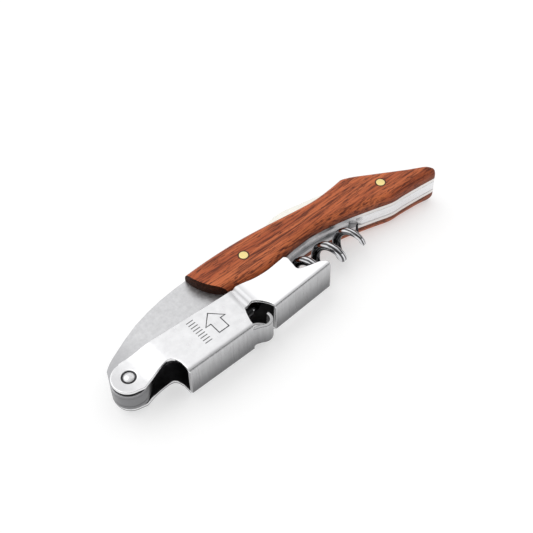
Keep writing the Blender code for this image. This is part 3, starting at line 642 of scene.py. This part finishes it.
def build_scale(name, side, node, shape):
    """A wooden scale as a grid, u along the handle and v over its section.

    At x the section runs from the front edge y0(x) to the back edge y1(x).  Its rounded edges are quarter ellipses,
    edge_across wide and edge_down high, the flat between is crowned by a parabola, and the wall below is upright.
    Every line of constant v starts where it meets the circle of the cut end and runs to the tail, where the top
    falls by a quarter ellipse along X.
    """
    front = np.vstack([curve_through(TAIL_FRONT, 12)[:-1], curve_through(FRONT_EDGE, 12)])[::-1]
    back = np.vstack([curve_through(BACK_EDGE, 12)[:-1], curve_through(TAIL_EDGE, 12)])
    front = front[np.argsort(front[:, 0], kind="stable")]
    across, down = wood_section(26)
    ry0, rz = shape.edge_across / MM, shape.edge_down / MM
    z0, z1 = LINER_Z + 0.02, WOOD_TOP - 0.05

    def plan_y(x, v):
        """Y of the section fraction v at x."""
        y0 = np.interp(x, front[:, 0], front[:, 1])
        y1 = np.interp(x, back[:, 0], back[:, 1])
        ry = np.minimum(ry0, 0.42 * (y1 - y0))
        return np.where(v <= 1, y0 + v * ry, np.where(v >= 2, y1 - (3 - v) * ry, y0 + ry + (v - 1) * (y1 - y0 - 2 * ry)))

    low, high = np.full(across.shape, WOOD_END_C[0] - WOOD_END_R - 0.5), np.full(across.shape, WOOD_END_C[0] - 2.0)
    for _ in range(40):                       # bisection for the start of every line of constant v at once
        middle = (low + high) / 2
        outside = (middle - WOOD_END_C[0]) ** 2 + (plan_y(middle, across) - WOOD_END_C[1]) ** 2 > WOOD_END_R ** 2
        low, high = np.where(outside, middle, low), np.where(outside, high, middle)
    start = (low + high) / 2

    t = np.linspace(0, 1, 150)
    along = np.where(t < 0.9, t / 0.9 * 0.97, 0.97 + 0.03 * np.sin((t - 0.9) / 0.1 * np.pi / 2))
    x = start + (TAIL_X - 0.01 - start) * along[:, None]
    y = plan_y(x, across[None, :])
    crown = 0.12 * (1 - (2 * np.clip(across - 1, 0, 1) - 1) ** 2) - 0.12
    fall = np.clip((TAIL_X - x) / 2.6, 0, 1)
    tail_drop = 1.9 * (1 - np.sqrt(1 - (1 - fall) ** 2))
    top = z1 - tail_drop - np.where((across > 1) & (across < 2), -crown, 0.12) * 1.0
    height = top - z0
    share = np.clip(rz / (z1 - z0), 0, 0.95)
    z = np.where(down <= 1, top - share * height * down, z0 + (1 - share) * height * (2 - down))
    upper = np.stack([x, y, z], 2)
    wall = 3                                  # the section's first and last columns are the upright walls
    lower = np.stack([x, y, z0 + 0 * z], 2)[:, wall:-wall]
    k = np.linspace(0, 1, wall + 1)[:, None, None]
    end_wall, tip_wall = (lower[i] + (upper[i, wall:-wall] - lower[i]) * k for i in (0, -1))
    parts = [upper, lower, end_wall, tip_wall]
    faces, index, first = [], [], 0
    for part, kind in zip(parts, (0, 0, 1, 0)):
        quads = grid_quads(part.shape[0], part.shape[1], first=first)
        faces.append(quads)
        index.append(np.full(len(quads), kind))
        first += part.shape[0] * part.shape[1]
    points = np.vstack([part.reshape(-1, 3) for part in parts]) * (1, 1, side)
    return make_piece(name, points, np.vstack(faces), [wood_look("wood_oiled", 0), wood_look("wood_burnt_end", 0.90)],
                      "handle", "red_wood", (node,), np.concatenate(index), sharp=38.0)


# ---------------------------------------------------------------- folded sheet metal

def flat_place(points, web_at):
    """Side view (x, y) of a cheek's edge as flat-blank coordinates (x, s), s measured from the web's middle line."""
    points = np.asarray(points, float)
    flat_w = LEVER_HALF_W - BEND_R
    bend = BEND_R * np.pi / 2
    rise = points[:, 1] - web_at(points[:, 0])
    s = np.where(rise > BEND_R, flat_w + bend + rise - BEND_R, flat_w + bend * np.clip(rise / BEND_R, 0, 1))
    return np.stack([points[:, 0], s], 1)


def fold(x, s, depth, half_at, web_at):
    """Folds a flat blank into a channel: |s| up to the bend is the web, then a quarter circle, then the cheek.

    depth is how far a point lies under the outer face; in the bend it shortens the circle's radius.
    """
    flat_w = LEVER_HALF_W - BEND_R
    bend = BEND_R * np.pi / 2
    a, side = np.abs(s), np.sign(s)
    spread = half_at(x) - LEVER_HALF_W
    angle = np.clip((a - flat_w) / BEND_R, 0, np.pi / 2)
    radius = BEND_R - depth
    z = side * np.where(a <= flat_w, a, flat_w + radius * np.sin(angle) + spread)
    y = web_at(x) + BEND_R - radius * np.cos(angle) + np.maximum(a - flat_w - bend, 0)
    return np.stack([x, y, z], 1)


def mitres(loop):
    """For each corner of a closed loop, the step to its left that moves both of its edges by one."""
    ahead = np.roll(loop, -1, 0) - loop
    ahead /= np.linalg.norm(ahead, axis=1)[:, None]
    left = np.stack([-ahead[:, 1], ahead[:, 0]], 1)
    both = left + np.roll(left, 1, 0)
    return both / np.maximum((both * left).sum(1), 0.4)[:, None]


def turned_round(loop):
    """Twice the signed area of a loop, positive when it runs counter-clockwise."""
    nxt = np.roll(loop, -1, 0)
    return (loop[:, 0] * nxt[:, 1] - loop[:, 1] * nxt[:, 0]).sum()


def filled_blank(loops, step, bend_rows):
    """Triangles inside a flat outline with holes: the outline's points and a lattice kept clear of them."""
    rim = np.vstack(loops)
    low, high = loops[0].min(0), loops[0].max(0)
    columns = np.arange(low[0] + step / 2, high[0], step)
    rows = np.arange(low[1] + step / 2, high[1], step)
    clear = (np.abs(rows) < bend_rows.min() - 0.1) | (np.abs(rows) > bend_rows.max() + 0.1)
    rows = np.sort(np.concatenate([rows[clear], bend_rows, -bend_rows]))
    lattice = np.stack(np.meshgrid(columns, rows, indexing="ij"), 2).reshape(-1, 2)
    away = np.full(len(lattice), np.inf)
    for part in np.array_split(rim, max(1, len(rim) // 80)):
        away = np.minimum(away, np.hypot(*(lattice[:, None] - part[None]).transpose(2, 0, 1)).min(1))
    points = np.vstack([rim, lattice[away > 0.22]])
    sizes = np.array([len(loop) for loop in loops])
    number = np.arange(len(rim))
    ends = np.cumsum(sizes)
    following = number + 1
    following[ends - 1] = ends - sizes
    edges = np.stack([number, following], 1)
    found = delaunay_2d_cdt([Vector(p) for p in points.tolist()], edges.tolist(), [], 0, 1e-6, False)
    flat, faces = np.array([tuple(v) for v in found[0]]), np.array([tuple(f) for f in found[2]])
    return flat, faces[crossings(flat[faces].mean(1), rim, rim[following]) % 2 == 1]


def crossings(points, start, end):
    """How many of the edges a line from each point towards +X crosses; an odd number means inside."""
    count = np.zeros(len(points), int)
    x, y = points[:, :1], points[:, 1:]
    for a, b in zip(np.array_split(start, 20), np.array_split(end, 20)):
        rise = np.where(np.abs(b[:, 1] - a[:, 1]) < 1e-12, 1e-12, b[:, 1] - a[:, 1])
        spans = (a[:, 1] > y) != (b[:, 1] > y)
        count += (spans & (x < a[:, 0] + (y - a[:, 1]) * (b[:, 0] - a[:, 0]) / rise)).sum(1)
    return count


def sheet_piece(name, outline, holes, bend_at, body, node_names, cheek, shape):
    """A folded sheet: bend_at(x, s, depth) puts a flat outline's points in their place.

    The flat fill lies inside the outline by the rounding, once on the outer face and once a sheet's thickness
    under it.  A rim is carried round every loop between them: a quarter circle, the cut edge, a quarter circle.
    """
    r = shape.sheet_rounding / MM
    loops = [outline] + holes
    loops = [loop if (turned_round(loop) > 0) == (k == 0) else loop[::-1] for k, loop in enumerate(loops)]
    steps = [mitres(loop) for loop in loops]
    bend_rows = LEVER_HALF_W - BEND_R + np.linspace(0, BEND_R * np.pi / 2, 9)
    flat, faces = filled_blank([loop + r * step for loop, step in zip(loops, steps)], 0.6, bend_rows)
    outer = bend_at(flat[:, 0], flat[:, 1], np.zeros(len(flat)))
    inner = bend_at(flat[:, 0], flat[:, 1], np.full(len(flat), SHEET))
    middle = np.abs(flat[faces][:, :, 1]).mean(1)
    points, quads = [outer, inner], []
    index = [np.where(middle < LEVER_HALF_W - BEND_R + 1.1, 1, 0), np.full(len(faces), 3)]
    turn = np.linspace(0, np.pi / 2, 6)
    inset = np.concatenate([r * (1 - np.sin(turn)), r * (1 - np.sin(turn[::-1]))])
    depth = np.concatenate([r * (1 - np.cos(turn)), SHEET - r * (1 - np.cos(turn[::-1]))])
    first = 2 * len(flat)
    for loop, step in zip(loops, steps):
        ring = loop[None] + step[None] * inset[:, None, None]
        deep = np.broadcast_to(depth[:, None], ring.shape[:2]).ravel()
        points.append(bend_at(ring[..., 0].ravel(), ring[..., 1].ravel(), deep))
        quads.append(grid_quads(len(inset), len(loop), close_cols=True, first=first))
        index.append(np.full(len(quads[-1]), 2))
        first += ring.shape[0] * ring.shape[1]
    faces = faces.tolist() + (faces + len(flat)).tolist() + np.vstack(quads).tolist()
    # The cheek, web and rim steels carry painted shade, and the inner faces are painted near black as shade.
    looks = [steel(cheek), steel("web"), steel("rim"), shadowed_metal()]
    return make_piece(name, np.vstack(points), faces, looks, body, "lever_steel", node_names, np.concatenate(index),
                      50.0)


def respaced_keep(points, gap):
    """Extra points along the straight parts of a polyline, its own points kept and none within a gap of them."""
    points = np.asarray(points, float)
    run = np.concatenate([[0], np.cumsum(np.hypot(*np.diff(points, axis=0).T))])
    extra = np.arange(0, run[-1], gap)
    clear = np.abs(extra[:, None] - run[None]).min(1) > gap
    at = np.sort(np.concatenate([run, extra[clear]]))
    return np.stack([np.interp(at, run, points[:, k]) for k in (0, 1)], 1)


def mirrored_outline(upper):
    """A closed outline from its upper half, which starts and ends on the middle line."""
    return np.vstack([upper, (upper[1:-1] * (1, -1))[::-1]])


def build_arm(shape):
    """First channel: ears, joggle, cap notch, web and the tongue curled into the first rest."""
    def web_at(x):
        return WEB_Y + 0 * x

    def half_at(x):
        return EAR_HALF_W + (LEVER_HALF_W - EAR_HALF_W) * ease((x - JOGGLE_X0) / (JOGGLE_X1 - JOGGLE_X0))

    notch = curve_through([(WEB_X0, -6.2), (11.7, -4.2), (10.3, -3.3), (7.4, -3.6), (4.0, -4.5), (1.3, -5.3)], 8)
    ear = arc((0, 0), EAR_R, 262, 88, 40)
    end = curve_through([ARM_END_TOP, (36.3, -3.1), (35.4, -5.6), (ARM_END_LOW + 0.55, -7.9)], 6)
    side = np.vstack([[(WEB_X0, -7.8)], notch, ear, [(0.4, 5.15)], end])
    upper = np.vstack([[(WEB_X0, 0.0)], flat_place(side, web_at), [(ARM_END_LOW + 0.2, LEVER_HALF_W - BEND_R)],
                       [(ARM_END_LOW, TONGUE_HALF_W + 0.4)], [(ARM_END_LOW + 0.3, TONGUE_HALF_W)]])
    line = np.vstack([[(ARM_END_LOW, WEB_Y)], [(ARM_END_LOW + 0.6, WEB_Y)],
                      arc(LIP_CENTRE, LIP_OUTER_R, 226, 380, 60)])
    line = respaced(line, 0.08)
    padded = np.vstack([np.repeat(line[:1], 8, 0), line, np.repeat(line[-1:], 8, 0)])
    kernel = np.ones(17) / 17
    line = np.stack([np.convolve(padded[:, k], kernel, "valid") for k in (0, 1)], 1)
    run = np.concatenate([[0], np.cumsum(np.hypot(*np.diff(line, axis=0).T))])
    way = np.gradient(line, axis=0)
    way /= np.linalg.norm(way, axis=1)[:, None]
    tongue_x = ARM_END_LOW + run[-1]
    upper = respaced_keep(np.vstack([upper, [(tongue_x, TONGUE_HALF_W)], [(tongue_x, 0.0)]]), 0.3)

    def bend_at(x, s, depth):
        """Channel first; past the web's end the tongue follows its line, at its depth to the line's left."""
        folded = fold(x, s, depth, half_at, web_at)
        past = (x > ARM_END_LOW) & (np.abs(s) < TONGUE_HALF_W + 0.35)
        at = x - ARM_END_LOW
        curled = [np.interp(at, run, column) for column in (line[:, 0], line[:, 1], way[:, 0], way[:, 1])]
        curled = np.stack([curled[0] - depth * curled[3], curled[1] + depth * curled[2], s], 1)
        return np.where(past[:, None], curled, folded)

    centre_s = flat_place([(0, 0)], web_at)[0, 1]
    holes = [arc((0, side_of * centre_s), RIVET_SINK_R, 0, 352.8, 49) for side_of in (1, -1)]
    return sheet_piece("lever_channel", mirrored_outline(upper), holes, bend_at, "lever",
                       ("lever_arm", "foot_hinge_pin"), "cheek", shape)


def build_foot(shape):
    """Second channel: ears inside the first, the window behind the curl, and the second rest at its end."""
    def web_at(x):
        return FOOT_WEB_Y + FOOT_WEB_SLOPE * (x - FOOT_WEB_X0)

    def half_at(x):
        return LEVER_HALF_W - FOOT_STEP * (1 - ease((x - FOOT_RAMP_X0) / (FOOT_RAMP_X1 - FOOT_RAMP_X0)))

    window = curve_through([(FOOT_WEB_X0, -8.0), (42.2, -6.6), (40.8, -4.5), (39.0, -3.2), (36.2, -3.2)], 8)
    ear = arc(FOOT_HINGE, FOOT_EAR_R, 25, -200, 24)
    top = curve_through([(37.6, 3.8), (40.9, 3.35), (44.5, 2.5), (48.8, 2.15), (52.6, 2.45), FOOT_PEAK], 8)
    heel = curve_through([FOOT_PEAK, (56.45, 1.7), (56.1, -1.0), (56.1, -3.0), (58.6, -4.1), (62.4, -5.2),
                          (63.9, -6.3), (FOOT_END_X, -7.4)], 8)
    side = np.vstack([window, ear, [(32.2, -1.0), (35.6, 2.6)], top[:-1], heel])
    upper = respaced_keep(np.vstack([[(FOOT_WEB_X0, 0.0)], flat_place(side, web_at), [(FOOT_END_X, 0.0)]]), 0.3)

    def bend_at(x, s, depth):
        """The foot's channel at every point."""
        return fold(x, s, depth, half_at, web_at)

    return sheet_piece("foot_channel", mirrored_outline(upper), [], bend_at, "foot", ("lever_foot",), "cheek_fine",
                       shape)


# ---------------------------------------------------------------- worm, pins and marks

def build_worm():
    """The wire along a right-handed helix that leaves its axis smoothly and tapers to a point.

    Centre (x, y + R e cos 2 pi n, R e sin 2 pi n) for turn n, with e easing from 0 to 1 at the hub; the section is a
    circle across the tangent, whose radius falls with a power of the turns left.
    """
    first = (COIL_FIRST_X - COIL_TIP_X) / COIL_PITCH
    turns = np.linspace(first, 0, 420)
    x = COIL_TIP_X + COIL_PITCH * turns
    grow = ease((x - COIL_START_X) / (COIL_FULL_X - COIL_START_X))
    angle = 2 * np.pi * turns
    centre = np.stack([x, COIL_Y + COIL_R * grow * np.cos(angle), COIL_R * grow * np.sin(angle)], 1)
    tangent = np.gradient(centre, axis=0)
    tangent /= np.linalg.norm(tangent, axis=1)[:, None]
    away = np.stack([0 * x, np.cos(angle), np.sin(angle)], 1)
    away -= tangent * (away * tangent).sum(1)[:, None]
    away /= np.linalg.norm(away, axis=1)[:, None]
    across = np.cross(tangent, away)
    radius = TIP_R + (WIRE_R - TIP_R) * np.clip(-turns / TAPER_TURNS, 0, 1) ** 0.75
    radius[-3:] *= (0.9, 0.6, 0.0)
    radius[0] = 0.0
    turn = 2 * np.pi * np.arange(24) / 24
    ring = away[:, None] * np.cos(turn)[None, :, None] + across[:, None] * np.sin(turn)[None, :, None]
    points = centre[:, None] + radius[:, None, None] * ring
    around = np.stack([np.cos(turn), np.sin(turn), 0 * turn], 1)
    around = np.broadcast_to(around[None], points.shape)
    return make_piece("worm_wire", points.reshape(-1, 3), grid_quads(len(x), 24, close_cols=True), [chrome_look()],
                      "worm", "chrome", ("worm_coil",), sharp=50.0, around=around)


def build_pins():
    """Brass pins ground flush, and the lever rivet with its domed heads in seats painted near black as shade."""
    brass = brass_look()
    top = WOOD_TOP
    for name, node, centre in (("brass_pin_front", "scale_pin_front", BRASS_FRONT),
                               ("brass_pin_rear", "scale_pin_rear", BRASS_REAR)):
        profile = [(0, top - 0.01), (0.6, top - 0.012), (BRASS_R - 0.25, top - 0.025), (BRASS_R - 0.08, top - 0.05),
                   (BRASS_R, top - 0.13), (BRASS_R, 1.0)]
        turned_piece(name, centre, profile, brass, "handle", "brass", (node,))
    crown = EAR_HALF_W + 0.39
    turn = np.radians(np.linspace(0, 80, 14))
    dome = np.stack([RIVET_HEAD_R * np.sin(turn), crown - 0.62 * (1 - np.cos(turn))], 1)
    profile = np.vstack([dome, [(RIVET_HEAD_R, crown - 0.62), (RIVET_HEAD_R - 0.03, crown - 0.9), (1.45, crown - 0.95),
                                (1.45, 1.0)]])
    turned_piece("rivet_domed", (0, 0), profile, steel("rivet"), "handle", "bright_steel", ("lever_rivet",))
    # The seats are near-black rings: painted shade in the recess round each head.
    seat = EAR_HALF_W - 0.62
    profile = [(1.47, seat), (RIVET_SINK_R + 0.2, seat), (RIVET_SINK_R + 0.2, seat - 0.33), (1.47, seat - 0.33)]
    for name, side in (("rivet_seat_upper", 1), ("rivet_seat_lower", -1)):
        ring = np.array(profile + profile[:1]) * (1, side)
        turned_piece(name, (0, 0), ring, shadowed_metal(), "lever", "lever_steel", mirrored=False)


def build_marks(shape):
    """The engraved arrow outline and tick lines, filled with dark wax, flush with the cheek."""
    ink, graph, shader = new_look("engraving_dark", 0.0, 0.6)
    place_in = graph.add("ShaderNodeTexCoord").outputs["Object"]
    worn = graph.ramp(graph.noise(place_in, 3.0, 0.6, 1600.0), 0.35, 0.7)
    colour = graph.mix(worn, (0.02, 0.02, 0.022, 1), (0.10, 0.10, 0.105, 1))
    graph.tree.links.new(colour, shader.inputs["Base Color"])
    width = shape.mark_width / MM
    arrow = [(27.5, 1.5), (24.2, -1.9), (25.9, -1.9), (25.9, -5.5), (29.2, -5.5), (29.2, -1.9), (30.8, -1.9)]
    arrow = np.array(arrow)
    outer, inner = arrow - mitres(arrow) * width / 2, arrow + mitres(arrow) * width / 2
    top, bottom = LEVER_HALF_W + 0.012, LEVER_HALF_W - 0.06
    rings = [np.column_stack([inner, np.full(len(inner), top)]), np.column_stack([outer, np.full(len(outer), top)]),
             np.column_stack([outer, np.full(len(outer), bottom)]),
             np.column_stack([inner, np.full(len(inner), bottom)])]
    points = np.stack(rings).reshape(-1, 3)
    quads = grid_quads(4, len(inner), close_rows=True, close_cols=True)
    make_piece("engraved_arrow", points, quads, [ink], "lever", "lever_steel", sharp=30.0)
    at = np.linspace(2.4, -5.8, shape.tick_count)
    half = width * 0.42
    corner = np.array([(20.9, -half), (23.2, -half), (23.2, half), (20.9, half)])
    plan = corner[None] + np.stack([0 * at, at], 1)[:, None]
    levels = np.array([bottom, top])
    block = np.concatenate([np.broadcast_to(plan[:, None], (len(at), 2, 4, 2)),
                            np.broadcast_to(levels[None, :, None, None], (len(at), 2, 4, 1))], 3)
    box_faces = np.array([(0, 1, 5, 4), (1, 2, 6, 5), (2, 3, 7, 6), (3, 0, 4, 7), (3, 2, 1, 0), (4, 5, 6, 7)])
    faces = (box_faces[None] + 8 * np.arange(len(at))[:, None, None]).reshape(-1, 4)
    make_piece("engraved_ticks", block.reshape(-1, 3), faces, [ink], "lever", "lever_steel", sharp=30.0)


# ---------------------------------------------------------------- operators

class CORKSCREW_OT_scales(bpy.types.Operator):
    """Build both wooden scales"""
    bl_idname = "corkscrew.scales"
    bl_label = "Wooden scales"

    def execute(self, context):
        shape = context.scene.corkscrew_shape
        build_scale("wood_scale_upper", 1, "scale_upper", shape)
        build_scale("wood_scale_lower", -1, "scale_lower", shape)
        return {"FINISHED"}


class CORKSCREW_OT_handle_plates(bpy.types.Operator):
    """Round the edges of the liners, blocks and spring, and give them their steels"""
    bl_idname = "corkscrew.handle_plates"
    bl_label = "Liners and blocks"

    def execute(self, context):
        width = context.scene.corkscrew_shape.plate_rounding
        core, bright = steel("core"), steel("bright")
        for node, name, look, slot in (
                ("liner_upper", "liner_plate_upper", core, "brushed_steel"),
                ("liner_lower", "liner_plate_lower", core, "brushed_steel"),
                ("front_block", "core_block", core, "brushed_steel"),
                ("back_spring", "spring_bar", steel("spring"), "spring_steel"),
                ("tail_spacer", "tail_bar", bright, "bright_steel")):
            rounded_copy(node, name, look, "handle", slot, width)
        for node in ("worm_pin", "liner_rivet", "tail_rivet", "knife_stop_pin", "knife_washer_upper",
                     "knife_washer_lower"):
            give_look(node, steel("polished"))
        return {"FINISHED"}


def give_look(node, look):
    """A CAD node keeps its shape and gets a finished material."""
    for place_of in frame["nodes"][node].material_slots:
        place_of.material = look


class CORKSCREW_OT_lever(bpy.types.Operator):
    """Cut and fold the two lever channels and engrave the marks"""
    bl_idname = "corkscrew.lever"
    bl_label = "Lever channels"

    def execute(self, context):
        shape = context.scene.corkscrew_shape
        build_arm(shape)
        build_foot(shape)
        build_marks(shape)
        return {"FINISHED"}


class CORKSCREW_OT_worm(bpy.types.Operator):
    """Wind the worm and finish its hub"""
    bl_idname = "corkscrew.worm"
    bl_label = "Worm"

    def execute(self, context):
        build_worm()
        # The hub is painted near black: painted shade where it sits in the dark window.
        rounded_copy("worm_hub", "worm_eye", shadowed_metal(), "worm", "bright_steel",
                     context.scene.corkscrew_shape.plate_rounding)
        return {"FINISHED"}


class CORKSCREW_OT_pins(bpy.types.Operator):
    """Turn the brass pins and the domed lever rivet"""
    bl_idname = "corkscrew.pins"
    bl_label = "Pins and rivet"

    def execute(self, context):
        build_pins()
        return {"FINISHED"}


class CORKSCREW_OT_knife(bpy.types.Operator):
    """Finish the foil knife"""
    bl_idname = "corkscrew.knife"
    bl_label = "Foil knife"

    def execute(self, context):
        rounded_copy("knife_blade", "foil_knife", steel("blade"), "knife", "blade_steel",
                     context.scene.corkscrew_shape.plate_rounding)
        return {"FINISHED"}


class CORKSCREW_OT_stage(bpy.types.Operator):
    """Lay the floor and set up the soft light and the camera"""
    bl_idname = "corkscrew.stage"
    bl_label = "Studio"

    def execute(self, context):
        studio = context.scene.corkscrew_studio
        build_floor()
        build_light(studio)
        build_camera(studio)
        return {"FINISHED"}


def build_floor():
    """A pale floor, wide enough to fill every view from above."""
    mesh = bpy.data.meshes.new("studio_floor")
    reach = 60.0
    mesh.from_pydata([(-reach, -reach, 0), (reach, -reach, 0), (reach, reach, 0), (-reach, reach, 0)], [],
                     [(0, 1, 2, 3)])
    look, graph, shader = new_look("floor_pale", 0.0, 0.9)
    place_in = graph.add("ShaderNodeTexCoord").outputs["Object"]
    soft = graph.noise(place_in, 2.0, 0.5, 3.0)
    graph.tree.links.new(graph.mix(soft, (0.60, 0.60, 0.60, 1), (0.63, 0.63, 0.63, 1)), shader.inputs["Base Color"])
    shader.inputs["Specular IOR Level"].default_value = 0.1
    shader.inputs["Emission Color"].default_value = (1, 1, 1, 1)
    shader.inputs["Emission Strength"].default_value = 0.45
    mesh.materials.append(look)
    floor = bpy.data.objects.new("studio_floor", mesh)
    bpy.context.scene.collection.objects.link(floor)


def build_light(studio):
    """A tent of light, brightest overhead and plain white behind the object, and one large soft light."""
    world = bpy.data.worlds.new("studio_tent")
    bpy.context.scene.world = world
    world.use_nodes = True
    graph = Graph(world.node_tree)
    up = graph.axes(graph.add("ShaderNodeTexCoord").outputs["Generated"])
    lift = graph.ramp(up[2], -0.05, 0.55, 0.22, 1.0)
    back = graph.ramp(up[1], -0.75, 0.1, 0.5, 1.0)
    level = graph.math("MULTIPLY", graph.math("MULTIPLY", lift, back), studio.sky)
    seen = graph.add("ShaderNodeLightPath").outputs["Is Camera Ray"]
    level = graph.math("MAXIMUM", level, seen)
    shine = world.node_tree.nodes["Background"]
    shine.inputs["Color"].default_value = (1, 1, 1, 1)
    world.node_tree.links.new(level, shine.inputs["Strength"])
    light = bpy.data.lights.new("key_light", "SUN")
    light.energy = studio.key
    light.angle = studio.key_size
    key = bpy.data.objects.new("key_light", light)
    key.rotation_mode = "QUATERNION"
    key.rotation_quaternion = Vector((-0.20, 0.52, 0.83)).to_track_quat("Z", "Y")
    key.location = (0.2, 0.4, 0.8)
    bpy.context.scene.collection.objects.link(key)


def build_camera(studio):
    """A long lens from the front left, above the rivet end, with a slight roll."""
    camera = bpy.data.cameras.new("camera")
    camera.lens = studio.lens
    camera.sensor_width = 36.0
    camera.clip_start, camera.clip_end = 0.01, 200.0
    eye = bpy.data.objects.new("camera", camera)
    turn, tilt, roll = math.radians(-39.7), math.radians(50.67), math.radians(-1.70)
    back = Vector((math.sin(turn) * math.cos(tilt), -math.cos(turn) * math.cos(tilt), math.sin(tilt)))
    level = Vector((math.cos(turn), math.sin(turn), 0.0))
    upward = back.cross(level)
    right = level * math.cos(roll) + upward * math.sin(roll)
    upward = back.cross(right)
    eye.matrix_world = Matrix((
        (right.x, upward.x, back.x, -0.12117),
        (right.y, upward.y, back.y, -0.14248),
        (right.z, upward.z, back.z, 0.23742),
        (0, 0, 0, 1)))
    bpy.context.scene.collection.objects.link(eye)
    bpy.context.scene.camera = eye
    bpy.context.scene.view_settings.view_transform = "Standard"


class CORKSCREW_PT_panel(bpy.types.Panel):
    """Sizes, colours and build steps of the corkscrew"""
    bl_idname = "CORKSCREW_PT_panel"
    bl_label = "Waiter's corkscrew"
    bl_space_type = "VIEW_3D"
    bl_region_type = "UI"
    bl_category = "Corkscrew"

    def draw(self, context):
        for group in (context.scene.corkscrew_shape, context.scene.corkscrew_finish, context.scene.corkscrew_studio):
            box = self.layout.box()
            for name in group.__annotations__:
                box.prop(group, name)
        for step in STEPS:
            self.layout.operator(step.bl_idname)


GROUPS = (("corkscrew_shape", CorkscrewShape), ("corkscrew_finish", CorkscrewFinish),
          ("corkscrew_studio", CorkscrewStudio))
STEPS = (CORKSCREW_OT_scales, CORKSCREW_OT_handle_plates, CORKSCREW_OT_lever, CORKSCREW_OT_worm, CORKSCREW_OT_pins,
         CORKSCREW_OT_knife, CORKSCREW_OT_stage)


def register():
    for label, group in GROUPS:
        bpy.utils.register_class(group)
        setattr(bpy.types.Scene, label, PointerProperty(type=group))
    for item in (*STEPS, CORKSCREW_PT_panel):
        bpy.utils.register_class(item)


def unregister():
    for item in (CORKSCREW_PT_panel, *reversed(STEPS)):
        bpy.utils.unregister_class(item)
    for label, group in reversed(GROUPS):
        delattr(bpy.types.Scene, label)
        bpy.utils.unregister_class(group)


def main():
    register()
    bpy.ops.corkscrew.scales()
    bpy.ops.corkscrew.handle_plates()
    bpy.ops.corkscrew.lever()
    bpy.ops.corkscrew.worm()
    bpy.ops.corkscrew.pins()
    bpy.ops.corkscrew.knife()
    bpy.ops.corkscrew.stage()
    bpy.context.view_layer.update()


if __name__ == "__main__":
    main()
